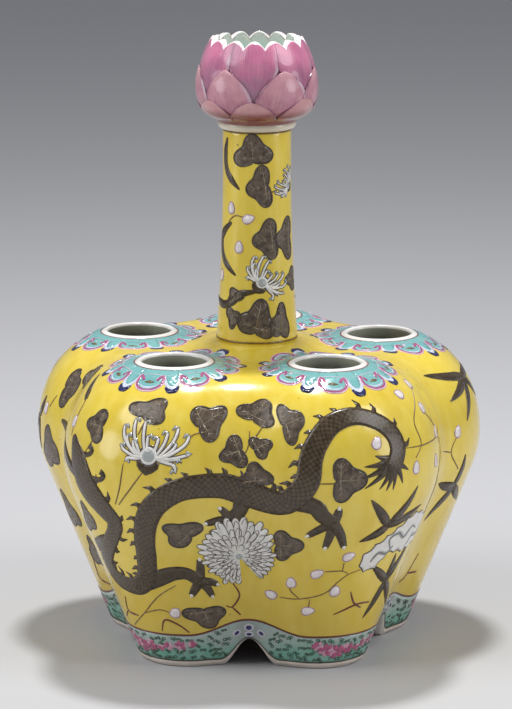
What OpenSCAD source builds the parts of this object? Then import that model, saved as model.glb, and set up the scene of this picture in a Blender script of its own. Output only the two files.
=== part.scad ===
// Five-lobed porcelain flower vase: five shoulder mouths round a tall neck that ends in a lotus.
// Millimetres, +Z up. The origin is on the table, under the axis of the neck.
// Every lobe is a body of revolution about its own upright axis. Every crease between two lobes is a
// hollow of revolution about an axis outside the vase. Where lobe radius and hollow radius add up to the
// distance between the two axes, the two surfaces run smoothly into each other.

/* [Body] */
// Distance from the axis of the vase to the axis of each lobe
lobe_axis_r = 45; // [42:0.5:48]
// Distance from the axis of the vase to the axis of each crease hollow
hollow_axis_r = 110; // [100:1:125]
// Radius of a lobe where it stands on the table
foot_r = 20; // [18:0.5:22]
// Radius of a lobe at its widest
belly_r = 51; // [48:0.5:54]
// Height of the widest part of the lobes
belly_z = 86; // [80:1:92]
// Radius of the curve between the straight flank and the belly
flank_r = 40; // [30:1:55]
// Radius of the level top of a lobe
crown_r = 23; // [21:0.5:26]
// Height of the level shoulder
shoulder_z = 124; // [118:1:132]
// Thickness of the lobe walls
wall = 4.5; // [3.5:0.1:5.5]

/* [Base] */
// Height of the arch between two neighbouring feet
arch_h = 12.5; // [8:0.5:16]
// Half the width of that arch where it leaves the table
arch_w = 12; // [9:0.5:14]
// Distance from the top of the arches to the underside of the base slab
slab_gap = 0.5; // [0.2:0.1:3]
// Thickness of the base slab
slab_t = 4; // [3:0.1:6]

/* [Mouths] */
// Distance from the axis of the vase to the axis of each mouth
mouth_axis_r = 53.4; // [52.5:0.1:55]
// Radius of the bore of a mouth
mouth_bore_r = 13.3; // [11:0.1:13.8]
// Wall of the part of a rim that is let into the shoulder
shank_w = 1.5; // [1.2:0.1:1.8]
// Width of the lip of a rim
lip_w = 3.2; // [2.6:0.1:3.4]
// Height of the lip above its seat
lip_h = 3.6; // [2.8:0.1:5]
// Depth of the seat of a rim below the level shoulder
seat_depth = 0.8; // [0.5:0.1:1.5]

/* [Shoulder] */
// Radius, from the axis of a lobe, of the seam between its wall and the shoulder plate
plate_r = 26.5; // [26:0.1:29]
// Thickness of the shoulder plate
plate_t = 4.5; // [3.5:0.1:6]
// Width of the ledge that the plate lies on
ledge_w = 3.5; // [2.5:0.1:5]
// Thickness of that ledge
ledge_t = 2.5; // [2:0.1:4]
// Radius of the mound round the foot of the neck
mound_r = 35; // [30:0.1:36]
// Rise of the mound
mound_h = 3.5; // [1:0.1:6]
// Width of the level seat round the foot of the neck
seat_w = 1; // [0.5:0.1:3]

/* [Neck] */
// Radius of the neck at its foot
neck_base_r = 17; // [16:0.1:19]
// Radius of the neck at its top
neck_top_r = 14.2; // [13.8:0.1:15]
// Radius of the bore of the neck
neck_bore_r = 11.5; // [9:0.1:11.8]
// Height of the neck from its seat to the collar
neck_h = 88.5; // [82:0.5:110]
// Height over which the neck narrows
taper_h = 77; // [60:0.5:80]
// Wall of the spigot at the foot of the neck
foot_spigot_w = 2.5; // [2:0.1:3]
// Wall of the spigot at the top of the neck
top_spigot_w = 1.5; // [1.2:0.1:1.8]

/* [Collar] */
// Outer radius of the collar
collar_r = 16.3; // [15.8:0.1:18]
// Height of the collar
collar_h = 4.5; // [3:0.1:5]

/* [Lotus cup] */
// Radius of the cup at its foot
cup_base_r = 15.3; // [14.8:0.1:17]
// Radius of the cup at its widest
cup_belly_r = 23.9; // [22:0.1:27]
// Height of the widest part above the foot of the cup
cup_belly_h = 13.5; // [11:0.1:16]
// Radius of the cup at the tips of its edge
cup_rim_r = 18.2; // [16.5:0.1:20]
// Height of the tips above the foot of the cup
cup_h = 33.5; // [28:0.1:40]
// Wall of the cup
cup_wall = 2.4; // [1.8:0.1:3]
// Depth of the socket over the spigot of the neck
socket_h = 3.5; // [2:0.1:5]
// Depth of the notches between the tips of the edge
notch_depth = 3; // [2:0.1:3.5]
// Width of the blunt end of each tip
tip_w = 1.5; // [1.4:0.1:2.5]

/* [Lotus petals] */
// Thickness of the lower petals
lower_t = 1.7; // [1:0.1:2.5]
// Width of the lower petals
lower_w = 20; // [16:0.1:22]
// Height of the tip of the lower petals above the foot of the cup
lower_tip = 12.5; // [10:0.1:15]
// Depth that the outline of the lower petals reaches below the foot of the cup
lower_root = 6; // [3:0.1:9]
// Thickness of the middle petals
middle_t = 1.3; // [0.8:0.1:2]
// Width of the middle petals
middle_w = 20; // [16:0.1:22]
// Height of the tip of the middle petals above the foot of the cup
middle_tip = 26.5; // [22:0.1:28]
// Height of the root of the middle petals above the foot of the cup
middle_root = 2; // [1:0.1:6]
// Height above the foot of the cup where the petals begin
petal_foot = 1; // [0.6:0.1:2]
// Thickness of the upper petals
upper_t = 0.9; // [0.6:0.1:1.5]
// Height of the root of the upper petals above the foot of the cup
upper_root = 9; // [6:0.1:12]

/* [Fits] */
// Gap that the slip fills between pieces that are let into each other
slip = 0.1; // [0.05:0.01:0.2]
// Gap between the edges of neighbouring petals
petal_gap = 0.15; // [0.1:0.01:0.3]

/* [Hidden] */
// Lobes in order round the vase, and the direction of each from the axis
LOBES = ["front_left", "front_right", "right", "back", "left"];
// The crease that follows each lobe
CREASES = ["front", "front_right", "back_right", "back_left", "front_left"];
lobe_step = 360 / len(LOBES);
function lobe_angle(i) = -90 - lobe_step / 2 + i * lobe_step;

// The axis of the hollow beside a lobe that lies along +X, and how far it is from the axis of the lobe
hollow_x = hollow_axis_r * cos(lobe_step / 2);
hollow_y = hollow_axis_r * sin(lobe_step / 2);
reach = norm([hollow_x - lobe_axis_r, hollow_y]);
// Direction from the axis of a lobe to the axis of the hollow
join_angle = atan2(hollow_y, hollow_x - lobe_axis_r);
// Half of the angle that a hollow covers, seen from its own axis
hollow_half = join_angle - lobe_step / 2;

// The straight flank touches the flank curve
flank_x = belly_r - flank_r;
flank_lean = atan2(belly_z, flank_x - foot_r) - asin(flank_r / norm([flank_x - foot_r, belly_z])) - 90;
flank_slope = -tan(flank_lean);
crown_h = shoulder_z - belly_z;
crown_w = belly_r - crown_r;
flank_steps = 5;
crown_steps = 14;

// Turn angle on the crown where it has a given radius or a given height
function crown_at_r(r) = acos((r - crown_r) / crown_w);
function crown_at_z(z) = asin((z - belly_z) / crown_h);
function crown_point(a) = [crown_r + crown_w * cos(a), belly_z + crown_h * sin(a)];

// One side of a lobe from the table up to the turn angle end of its crown, set in from the surface
function lobe_side(inset, end) = concat(
    [[foot_r - inset, 0]],
    [for (k = [0 : flank_steps - 1])
        let (a = flank_lean * (1 - k / flank_steps))
        [flank_x + flank_r * cos(a) - inset, belly_z + flank_r * sin(a)]],
    [for (k = [0 : crown_steps]) crown_point(end * k / crown_steps) - [inset, 0]]);
function backwards(points) = [for (k = [len(points) - 1 : -1 : 0]) points[k]];

// The outline of the vase seen from above where the lobes have radius r, as points in order round it
lobe_steps = 22;
hollow_steps = 10;
function turned(x, y, a) = [x * cos(a) - y * sin(a), x * sin(a) + y * cos(a)];
function plan(r) = [for (i = [0 : len(LOBES) - 1]) each concat(
    [for (k = [0 : lobe_steps - 1])
        let (a = join_angle * (2 * k / lobe_steps - 1))
        turned(lobe_axis_r + r * cos(a), r * sin(a), lobe_angle(i))],
    [for (k = [0 : hollow_steps - 1])
        let (a = 180 + lobe_step / 2 + hollow_half * (1 - 2 * k / hollow_steps))
        turned(hollow_x + (reach - r) * cos(a), hollow_y + (reach - r) * sin(a), lobe_angle(i))])];

// Heights and radii where the pieces meet
slab_z = arch_h + slab_gap;
ledge_z = shoulder_z - plate_t;
shank_r = mouth_bore_r + shank_w;
lip_r = mouth_bore_r + lip_w;
seat_z = shoulder_z - seat_depth;
neck_z = shoulder_z + mound_h;
foot_spigot_r = neck_bore_r + foot_spigot_w;
top_spigot_r = neck_bore_r + top_spigot_w;
collar_z = neck_z + neck_h;
cup_z = collar_z + collar_h;

// Section of a wall with its ledge, as radius from the axis of the lobe and height
wall_section = concat(
    lobe_side(0, crown_at_r(plate_r)),
    [[plate_r, ledge_z], [plate_r - ledge_w, ledge_z], [plate_r - ledge_w, ledge_z - ledge_t]],
    backwards(lobe_side(wall, crown_at_z(ledge_z - ledge_t))));

// Lobe radius of the base slab, a slip gap inside the taper of the walls at its underside
slab_r = foot_r - wall - slip + flank_slope * slab_z;

// The outline of the cup as height above its foot: a bowl up to the belly, then an arc in to the tips
cup_round_r = ((cup_belly_r - cup_rim_r) ^ 2 + (cup_h - cup_belly_h) ^ 2) / (2 * (cup_belly_r - cup_rim_r));
cup_steps = 10;
function cup_side(out, low) = concat(
    [for (k = [0 : cup_steps - 1])
        let (a0 = acos(1 - low / cup_belly_h), a = a0 + (90 - a0) * k / cup_steps)
        [cup_base_r + (cup_belly_r - cup_base_r) * sin(a) + out, cup_z + cup_belly_h * (1 - cos(a))]],
    [for (k = [0 : cup_steps])
        let (h = (cup_h - cup_belly_h) * k / cup_steps)
        [cup_belly_r - cup_round_r + sqrt(cup_round_r ^ 2 - h ^ 2) + out, cup_z + cup_belly_h + h]]);

// Petals stand in rows of seven, and the edge of the cup has two tips to each petal
petals = 7;
petal_step = 360 / petals;
tips = 2 * petals;
notch_w = 2 * cup_rim_r * sin(180 / tips) - tip_w;
// A length from the axis that reaches past the outside of the cup
past = 2 * cup_belly_r;
function petal_names(row) = [for (k = [1 : petals]) str("lotus_", row, "_petal_", k)];
LOWER = petal_names("lower");
MIDDLE = petal_names("middle");
UPPER = petal_names("upper");

$fn = 72;

// A section turned about the axis of a lobe that lies along +X, as far as the hollows on its two sides
module turn_lobe(section) {
    translate([lobe_axis_r, 0, 0])
        rotate_extrude(start = -join_angle, angle = 2 * join_angle)
            polygon(section);
}

// The same section turned about the axis of the hollow that follows that lobe
module turn_hollow(section) {
    translate([hollow_x, hollow_y, 0])
        rotate_extrude(start = 180 + lobe_step / 2 - hollow_half, angle = 2 * hollow_half)
            polygon([for (p = section) [reach - p.x, p.y]]);
}

// A flat sheet of thickness t with the outline of the vase where the lobes have radius r
module lobed_sheet(r, t) {
    linear_extrude(t)
        polygon(plan(r));
}

module lobe(i) {
    color("gold")
        rotate([0, 0, lobe_angle(i)])
            turn_lobe(wall_section);
}

// A bell-shaped arch that runs out flat at the table
module arch_outline() {
    steps = 24;
    polygon(concat(
        [[arch_w, -arch_h], [-arch_w, -arch_h]],
        [for (k = [0 : steps])
            let (s = 2 * k / steps - 1)
            [arch_w * s, arch_h * (1 + cos(180 * s)) / 2]]));
}

module crease(i) {
    color("goldenrod")
        rotate([0, 0, lobe_angle(i)])
            difference() {
                turn_hollow(wall_section);
                rotate([90, 0, 90 + lobe_step / 2])
                    linear_extrude(hollow_axis_r)
                        arch_outline();
            }
}

module base_slab() {
    color("whitesmoke")
        translate([0, 0, slab_z])
            lobed_sheet(slab_r, slab_t);
}

// A round hole of radius r right through the shoulder plate
module plate_hole(r) {
    translate([0, 0, ledge_z - plate_t])
        cylinder(r = r, h = 3 * plate_t);
}

// Room in the shoulder for a mouth rim
module mouth_cut() {
    translate([mouth_axis_r, 0, 0]) {
        plate_hole(shank_r + slip);
        translate([0, 0, seat_z])
            cylinder(r = lip_r + slip, h = plate_t);
    }
}

module shoulder_plate() {
    color("gold")
        difference() {
            translate([0, 0, ledge_z])
                lobed_sheet(plate_r - slip, plate_t);
            for (i = [0 : len(LOBES) - 1])
                rotate([0, 0, lobe_angle(i)])
                    mouth_cut();
            plate_hole(foot_spigot_r + slip);
        }
}

// The low mound on the shoulder that the neck stands on
module neck_mound() {
    steps = 8;
    inner = neck_base_r + seat_w;
    color("gold")
        rotate_extrude()
            polygon(concat(
                [[foot_spigot_r + slip, shoulder_z]],
                [for (k = [0 : steps])
                    [mound_r + (inner - mound_r) * k / steps,
                     shoulder_z + mound_h * (1 - cos(180 * k / steps)) / 2]],
                [[foot_spigot_r + slip, neck_z]]));
}

module mouth_rim(i) {
    round_r = lip_w / 2;
    color("white")
        rotate([0, 0, lobe_angle(i)])
            translate([mouth_axis_r, 0, 0])
                rotate_extrude() {
                    translate([mouth_bore_r, ledge_z])
                        square([shank_w, seat_z - ledge_z]);
                    translate([mouth_bore_r, seat_z])
                        square([lip_w, lip_h - round_r]);
                    translate([mouth_bore_r + round_r, seat_z + lip_h - round_r])
                        circle(r = round_r);
                }
}

module neck_tube() {
    steps = 12;
    // The narrowing is one large arc that stands upright where the straight part begins
    flare = neck_base_r - neck_top_r;
    arc_r = (flare ^ 2 + taper_h ^ 2) / (2 * flare);
    taper = [for (k = [0 : steps])
        let (h = taper_h * k / steps)
        [neck_top_r + arc_r - sqrt(arc_r ^ 2 - (taper_h - h) ^ 2), neck_z + h]];
    color("gold")
        rotate_extrude()
            polygon(concat(
                [[neck_bore_r, ledge_z], [foot_spigot_r, ledge_z], [foot_spigot_r, neck_z]],
                taper,
                [[neck_top_r, collar_z], [top_spigot_r, collar_z],
                 [top_spigot_r, cup_z + socket_h], [neck_bore_r, cup_z + socket_h]]));
}

module neck_collar() {
    bore_r = top_spigot_r + slip;
    round_r = collar_h / 2;
    color("white")
        rotate_extrude() {
            translate([bore_r, collar_z])
                square([collar_r - round_r - bore_r, collar_h]);
            intersection() {
                translate([collar_r - round_r, collar_z + round_r])
                    circle(r = round_r);
                translate([bore_r, collar_z])
                    square([collar_r, collar_h]);
            }
        }
}

// The notches between the tips of the edge of the cup
module edge_notches() {
    rise = tip_w / 2;
    flank = notch_w / 2 * (1 + rise / notch_depth);
    for (k = [0 : tips - 1])
        rotate([0, 0, k * 360 / tips])
            translate([cup_rim_r - 2 * cup_wall, 0, cup_z + cup_h])
                rotate([90, 0, 90])
                    linear_extrude(past)
                        polygon([[-flank, rise], [0, -notch_depth], [flank, rise]]);
}

module lotus_cup() {
    color("palevioletred")
        difference() {
            rotate_extrude()
                polygon(concat(
                    [[top_spigot_r + slip, cup_z]],
                    cup_side(0, 0),
                    backwards(cup_side(-cup_wall, socket_h)),
                    [[top_spigot_r + slip, cup_z + socket_h]]));
            edge_notches();
        }
}

// A skin of thickness t on the outside of the cup
module cup_skin(t) {
    rotate_extrude()
        polygon(concat(cup_side(0, petal_foot), backwards(cup_side(t, petal_foot))));
}

// A block through the cup wall with the outline of a petal, pointed at its root and at its tip
module petal_block(w, root, tip, turn, grow) {
    steps = 12;
    // A power below 1 makes the sides of the petal fuller than a sine wave
    fullness = 0.8;
    // Half the width at a share s of the way from root to tip
    function half(s) = w / 2 * sin(180 * s) ^ fullness + grow;
    function side(s, sign) = [sign * half(s), root - grow + (tip - root + 2 * grow) * s];
    rotate([0, 0, turn])
        translate([0, 0, cup_z])
            rotate([90, 0, 90])
                linear_extrude(past)
                    polygon(concat(
                        [for (k = [0 : steps]) side(k / steps, 1)],
                        [for (k = [steps - 1 : -1 : 1]) side(k / steps, -1)]));
}

// The wedge of the cup that one petal may fill, less half a gap on each side
module petal_wedge() {
    edge = past * tan(petal_step / 2);
    translate([petal_gap / 2 / sin(petal_step / 2), 0, cup_z - cup_h])
        linear_extrude(3 * cup_h)
            polygon([[0, 0], [past, -edge], [past, edge]]);
}

module lower_block(turn, grow) {
    petal_block(lower_w, -lower_root, lower_tip, turn, grow);
}

module middle_block(turn, grow) {
    petal_block(middle_w, middle_root, middle_tip, turn, grow);
}

// Petals of the lower and upper rows face the middle of a step, and the middle row faces the gaps
function petal_turn(k) = -90 + petal_step * k;

module lower_petal(k) {
    color("rosybrown")
        rotate([0, 0, petal_turn(k)])
            intersection() {
                cup_skin(lower_t);
                lower_block(0, 0);
                petal_wedge();
            }
}

module middle_petal(k) {
    color("pink")
        rotate([0, 0, petal_turn(k + 0.5)])
            difference() {
                intersection() {
                    cup_skin(middle_t);
                    middle_block(0, 0);
                    petal_wedge();
                }
                for (side = [-1, 1])
                    lower_block(side * petal_step / 2, petal_gap);
            }
}

module upper_petal(k) {
    color("palevioletred")
        rotate([0, 0, petal_turn(k)])
            difference() {
                intersection() {
                    cup_skin(upper_t);
                    petal_wedge();
                    translate([0, -past / 2, cup_z + upper_root])
                        cube([past, past, cup_h]);
                }
                lower_block(0, petal_gap);
                for (side = [-1, 1])
                    middle_block(side * petal_step / 2, petal_gap);
                rotate([0, 0, 90])
                    edge_notches();
            }
}

for (i = [0 : len(LOBES) - 1]) {
    lobe(i);
    crease(i);
    mouth_rim(i);
}
base_slab();
shoulder_plate();
neck_mound();
neck_tube();
neck_collar();
lotus_cup();
for (k = [0 : petals - 1]) {
    lower_petal(k);
    middle_petal(k);
    upper_petal(k);
}
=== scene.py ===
"""Looks of a five-lobed porcelain flower vase, painted in enamels on a yellow ground."""
import math
import random
from bisect import bisect_right

import bmesh
import bpy
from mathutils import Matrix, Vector


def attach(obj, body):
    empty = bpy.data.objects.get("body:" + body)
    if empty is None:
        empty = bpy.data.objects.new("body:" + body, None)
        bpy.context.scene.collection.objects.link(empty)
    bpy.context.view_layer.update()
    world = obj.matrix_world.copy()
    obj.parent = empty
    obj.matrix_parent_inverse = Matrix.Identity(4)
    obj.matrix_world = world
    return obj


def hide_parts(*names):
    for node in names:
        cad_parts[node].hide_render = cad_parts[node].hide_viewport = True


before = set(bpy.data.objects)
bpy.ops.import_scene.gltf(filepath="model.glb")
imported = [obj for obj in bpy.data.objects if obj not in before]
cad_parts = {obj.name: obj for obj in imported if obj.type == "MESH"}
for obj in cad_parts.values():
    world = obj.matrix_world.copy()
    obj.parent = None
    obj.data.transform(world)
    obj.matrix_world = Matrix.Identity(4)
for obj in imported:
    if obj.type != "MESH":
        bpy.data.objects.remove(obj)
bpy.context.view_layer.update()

# Sizes of the vase in millimetres, the same as the solids have
MM = 0.001
LOBES = 5
LOBE_TURN = 360.0 / LOBES
FIRST_LOBE = -126.0
LOBE_AXIS_R = 45.0
HOLLOW_AXIS_R = 110.0
FOOT_R = 20.0
BELLY_R = 51.0
BELLY_Z = 86.0
FLANK_R = 40.0
CROWN_R = 23.0
SHOULDER_Z = 124.0
WALL = 4.5
ARCH_H = 12.5
ARCH_W = 12.0
MOUTH_AXIS_R = 53.4
MOUTH_BORE_R = 13.3
SHANK_R = 14.8
LIP_R = 16.5
LIP_TOP_Z = 126.8
MOUND_R = 35.0
MOUND_H = 3.5
NECK_BASE_R = 17.0
NECK_TOP_R = 14.2
NECK_BORE_R = 11.5
NECK_Z = 127.5
TAPER_H = 77.0
COLLAR_Z = 216.0
COLLAR_R = 16.3
CUP_Z = 220.5
CUP_BASE_R = 15.3
CUP_BELLY_R = 23.9
CUP_BELLY_H = 13.5
CUP_RIM_R = 18.2
CUP_H = 33.5
CUP_WALL = 2.4
NOTCH_DEPTH = 3.0
PETALS = 7
# The shoulder's swell up to each mouth, which the solids leave out
SWELL_R = 27.0
SWELL_H = 1.8

LOBE_NAMES = ["front_left", "front_right", "right", "back", "left"]
CREASE_NAMES = ["front", "front_right", "back_right", "back_left", "front_left"]


# The surfaces of the vase

HALF_TURN = math.radians(LOBE_TURN / 2)
HOLLOW_X = HOLLOW_AXIS_R * math.cos(HALF_TURN)
HOLLOW_Y = HOLLOW_AXIS_R * math.sin(HALF_TURN)
REACH = math.hypot(HOLLOW_X - LOBE_AXIS_R, HOLLOW_Y)
JOIN = math.atan2(HOLLOW_Y, HOLLOW_X - LOBE_AXIS_R)
FLANK_X = BELLY_R - FLANK_R
LEAN = (math.atan2(BELLY_Z, FLANK_X - FOOT_R)
        - math.asin(FLANK_R / math.hypot(FLANK_X - FOOT_R, BELLY_Z)) - math.pi / 2)
FLANK_STEPS = 24
CROWN_STEPS = 60
LEAST_GIRTH = 20.0
ARCH_TRIES = 4
PROBE = 0.3


def spread(low, high, count):
    """Evenly spaced values from low to high."""
    return [low + (high - low) * i / (count - 1) for i in range(count)]


def fade(share):
    """Smooth fall from 1 at a share of 0 to 0 at a share of 1."""
    return (1 + math.cos(math.pi * min(max(share, 0.0), 1.0))) / 2


def walk_up_lobe():
    """The side of a lobe from the table to its axis, as climbs with radii and heights."""
    side = [(FOOT_R, 0.0)]
    for a in spread(LEAN, 0, FLANK_STEPS):
        side.append((FLANK_X + FLANK_R * math.cos(a), BELLY_Z + FLANK_R * math.sin(a)))
    for a in spread(0, math.pi / 2, CROWN_STEPS)[1:]:
        side.append((CROWN_R + (BELLY_R - CROWN_R) * math.cos(a),
                     BELLY_Z + (SHOULDER_Z - BELLY_Z) * math.sin(a)))
    side.append((0.0, SHOULDER_Z))
    climbs = [0.0]
    for (r0, z0), (r1, z1) in zip(side, side[1:]):
        climbs.append(climbs[-1] + math.hypot(r1 - r0, z1 - z0))
    return climbs, side


CLIMBS, SIDE = walk_up_lobe()
CROWN_CLIMB = CLIMBS[-2]


def lobe_side(climb):
    """Radius about the lobe's axis and height, at a distance up the side of a lobe."""
    i = min(max(bisect_right(CLIMBS, climb) - 1, 0), len(SIDE) - 2)
    share = (climb - CLIMBS[i]) / (CLIMBS[i + 1] - CLIMBS[i])
    (r0, z0), (r1, z1) = SIDE[i], SIDE[i + 1]
    return r0 + (r1 - r0) * share, z0 + (z1 - z0) * share


def climb_at(z):
    """Distance up the straight foot of a lobe's side at a height."""
    return z * CLIMBS[1] / SIDE[1][1]


def off_lobe(angle):
    """Degrees from the middle of the nearest lobe."""
    return (angle - FIRST_LOBE + LOBE_TURN / 2) % LOBE_TURN - LOBE_TURN / 2


def plan_radius(angle, r):
    """Distance of the lobed outline from the vase's axis, where the lobes have the radius r."""
    turn = math.radians(abs(off_lobe(angle)))
    room = r * r - (LOBE_AXIS_R * math.sin(turn)) ** 2
    if room >= 0:
        rho = LOBE_AXIS_R * math.cos(turn) + math.sqrt(room)
        if math.atan2(rho * math.sin(turn), rho * math.cos(turn) - LOBE_AXIS_R) <= JOIN:
            return rho
    across = HALF_TURN - turn
    return (HOLLOW_AXIS_R * math.cos(across)
            - math.sqrt((REACH - r) ** 2 - (HOLLOW_AXIS_R * math.sin(across)) ** 2))


def polar(rho, angle, z):
    """Point at a distance from the vase's axis, with the angle in degrees."""
    turn = math.radians(angle)
    return Vector((rho * math.cos(turn), rho * math.sin(turn), z))


def swell(rho, angle):
    """Rise of the shoulder towards the mouth of the nearest lobe."""
    turn = math.radians(off_lobe(angle))
    far = math.hypot(rho * math.cos(turn) - MOUTH_AXIS_R, rho * math.sin(turn))
    return SWELL_H * fade((far - LIP_R) / (SWELL_R - LIP_R))


def mound_rise(rho):
    """Rise of the shoulder towards the foot of the neck."""
    return MOUND_H * fade((rho - NECK_BASE_R) / (MOUND_R - NECK_BASE_R))


def on_body(angle, climb):
    """Point on the outside of the body."""
    r, z = lobe_side(climb)
    rho = plan_radius(angle, r)
    return polar(rho, angle, z + swell(rho, angle) if z > BELLY_Z else z)


def girth(angle, climb):
    """Millimetres along the outline for one radian round the vase."""
    chord = (on_body(angle + 1, climb) - on_body(angle - 1, climb)).length
    return max(chord / math.radians(2), LEAST_GIRTH)


def lifted(ground, x, y, lift):
    """Point at a height over a curved ground, whose slope is found from two places near by."""
    spot = ground(x, y)
    out = (ground(x + PROBE, y) - spot).cross(ground(x, y + PROBE) - spot).normalized()
    return spot + out * lift


def on_shoulder(x, y):
    """Point of the shoulder right under or over a place in the plan."""
    rho = math.hypot(x, y)
    turn = math.radians(abs(off_lobe(math.degrees(math.atan2(y, x)))))
    along, across = rho * math.cos(turn), rho * math.sin(turn)
    r = math.hypot(along - LOBE_AXIS_R, across)
    if math.atan2(across, along - LOBE_AXIS_R) > JOIN:
        r = REACH - math.hypot(HOLLOW_X - along, HOLLOW_Y - across)
    out = min(max((r - CROWN_R) / (BELLY_R - CROWN_R), 0.0), 1.0)
    z = BELLY_Z + (SHOULDER_Z - BELLY_Z) * math.sqrt(1 - out * out)
    return Vector((x, y, z + swell(rho, math.degrees(math.atan2(y, x))) + mound_rise(rho)))


def neck_radius(h):
    """Outer radius of the neck at a height over its foot."""
    drop = NECK_BASE_R - NECK_TOP_R
    bow = (drop * drop + TAPER_H * TAPER_H) / (2 * drop)
    rest = max(TAPER_H - h, 0.0)
    return NECK_TOP_R + bow - math.sqrt(bow * bow - rest * rest)


def cup_radius(h):
    """Outer radius of the lotus cup at a height over its foot."""
    if h < CUP_BELLY_H:
        swing = math.acos(1 - h / CUP_BELLY_H)
        return CUP_BASE_R + (CUP_BELLY_R - CUP_BASE_R) * math.sin(swing)
    rise = CUP_H - CUP_BELLY_H
    pull = CUP_BELLY_R - CUP_RIM_R
    bow = (pull * pull + rise * rise) / (2 * pull)
    return CUP_BELLY_R - bow + math.sqrt(bow * bow - (h - CUP_BELLY_H) ** 2)


def arch_z(angle):
    """Height of the arched gap between two feet, 0 on the feet."""
    from_crease = LOBE_TURN / 2 - abs(off_lobe(angle))
    z = 0.0
    for _ in range(ARCH_TRIES):
        across = plan_radius(angle, lobe_side(climb_at(z))[0]) * math.sin(math.radians(from_crease))
        z = ARCH_H * fade(across / ARCH_W)
    return z


# Shader nodes as Python expressions

def srgb(red, green, blue):
    """Linear colour of the 8-bit values of a screen colour."""
    linear = []
    for value in (red, green, blue):
        value = value / 255
        linear.append(value / 12.92 if value <= 0.04045 else ((value + 0.055) / 1.055) ** 2.4)
    return (*linear, 1.0)


def operator(operation, reflected=False):
    """A Python operator as a Math node, with its sides changed where it is reflected."""

    def apply(value, other):
        return value.maths(operation, other, value) if reflected else value.maths(operation, value, other)

    return apply


class Value:
    """A number that a socket gives, with Python's operators as Math nodes."""

    def __init__(self, finish, socket):
        self.finish = finish
        self.socket = socket

    def maths(self, operation, first, second=0.5):
        return self.finish.add("ShaderNodeMath", {"operation": operation}, {0: first, 1: second})

    __add__ = operator("ADD")
    __radd__ = operator("ADD", True)
    __sub__ = operator("SUBTRACT")
    __rsub__ = operator("SUBTRACT", True)
    __mul__ = operator("MULTIPLY")
    __rmul__ = operator("MULTIPLY", True)
    __truediv__ = operator("DIVIDE")
    __rtruediv__ = operator("DIVIDE", True)

    def __abs__(self):
        return self.maths("ABSOLUTE", self)

    def wave(self):
        return self.maths("SINE", self)

    def clamped(self):
        """The number kept from 0 to 1."""
        return self.finish.add("ShaderNodeClamp", {}, {"Value": self})

    def between(self, low, high):
        """0 at low and 1 at high, with a smooth step between them."""
        return self.finish.add("ShaderNodeMapRange", {"interpolation_type": "SMOOTHSTEP"},
                               {"Value": self, "From Min": low, "From Max": high})


class Finish:
    """A glazed or painted surface: a Principled shader and the nodes that feed it."""

    def __init__(self, name):
        self.material = bpy.data.materials.new(name)
        self.material.use_nodes = True
        self.tree = self.material.node_tree
        self.shader = self.tree.nodes["Principled BSDF"]
        self.place = self.add("ShaderNodeTexCoord", {}, {}, "Object")
        self.brush = self.add("ShaderNodeUVMap", {"uv_map": "brush"}, {}, "UV")

    def add(self, kind, settings, sockets, output=0):
        """One node of a kind, with its settings made first and then its sockets filled or linked."""
        node = self.tree.nodes.new(kind)
        for name, setting in settings.items():
            setattr(node, name, setting)
        for name, value in sockets.items():
            self.feed(node.inputs[name], value)
        return Value(self, node.outputs[output])

    def feed(self, socket, value):
        if isinstance(value, Value):
            self.tree.links.new(value.socket, socket)
        else:
            socket.default_value = value

    def set(self, **sockets):
        """Values or links for the shader's own sockets, with words joined by underscores."""
        for name, value in sockets.items():
            self.feed(self.shader.inputs[name.replace("_", " ")], value)

    def noise(self, size_mm, detail, stretch=(1, 1, 1), at=None):
        """Soft noise from 0 to 1 whose patches are about this size."""
        spot = self.add("ShaderNodeMapping", {}, {"Vector": at or self.place, "Scale": stretch})
        return self.add("ShaderNodeTexNoise", {},
                        {"Vector": spot, "Scale": 1 / (size_mm * MM), "Detail": detail})

    def wash(self, colour, *layers):
        """A screen colour under washes, each with its share of cover and its own screen colour."""
        tone = srgb(*colour)
        for share, over in layers:
            tone = self.add("ShaderNodeMix", {"data_type": "RGBA"}, {0: share, 6: tone, 7: srgb(*over)}, 2)
        return tone

    def split(self, vector):
        """The three numbers of a vector."""
        node = self.add("ShaderNodeSeparateXYZ", {}, {"Vector": vector})
        return [Value(self, socket) for socket in node.socket.node.outputs]

    def fired(self, tone, rough, height, depth_mm, coat=0.35, coat_rough=0.05):
        """The finished material: a tone under a clear coat, as uneven as fired glaze is."""
        uneven = self.add("ShaderNodeBump", {},
                          {"Height": height, "Distance": depth_mm * MM, "Strength": 1.0})
        self.set(Base_Color=tone, Roughness=rough, Normal=uneven,
                 Coat_Weight=coat, Coat_Roughness=coat_rough)
        return self.material


def glaze(name, tone, shade, patch_mm, rough=0.12, depth_mm=0.06):
    """Glossy glaze or enamel whose colour drifts between two tones."""
    finish = Finish(name)
    drift = (finish.noise(patch_mm, 4.0) * 1.6 - 0.3).clamped()
    grain = finish.noise(patch_mm * 0.12, 2.0)
    drifting = finish.wash(tone, (drift * 0.75 + grain * 0.25, shade))
    return finish.fired(drifting, grain * 0.08 + rough, finish.noise(patch_mm * 0.5, 2.0), depth_mm)


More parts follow.
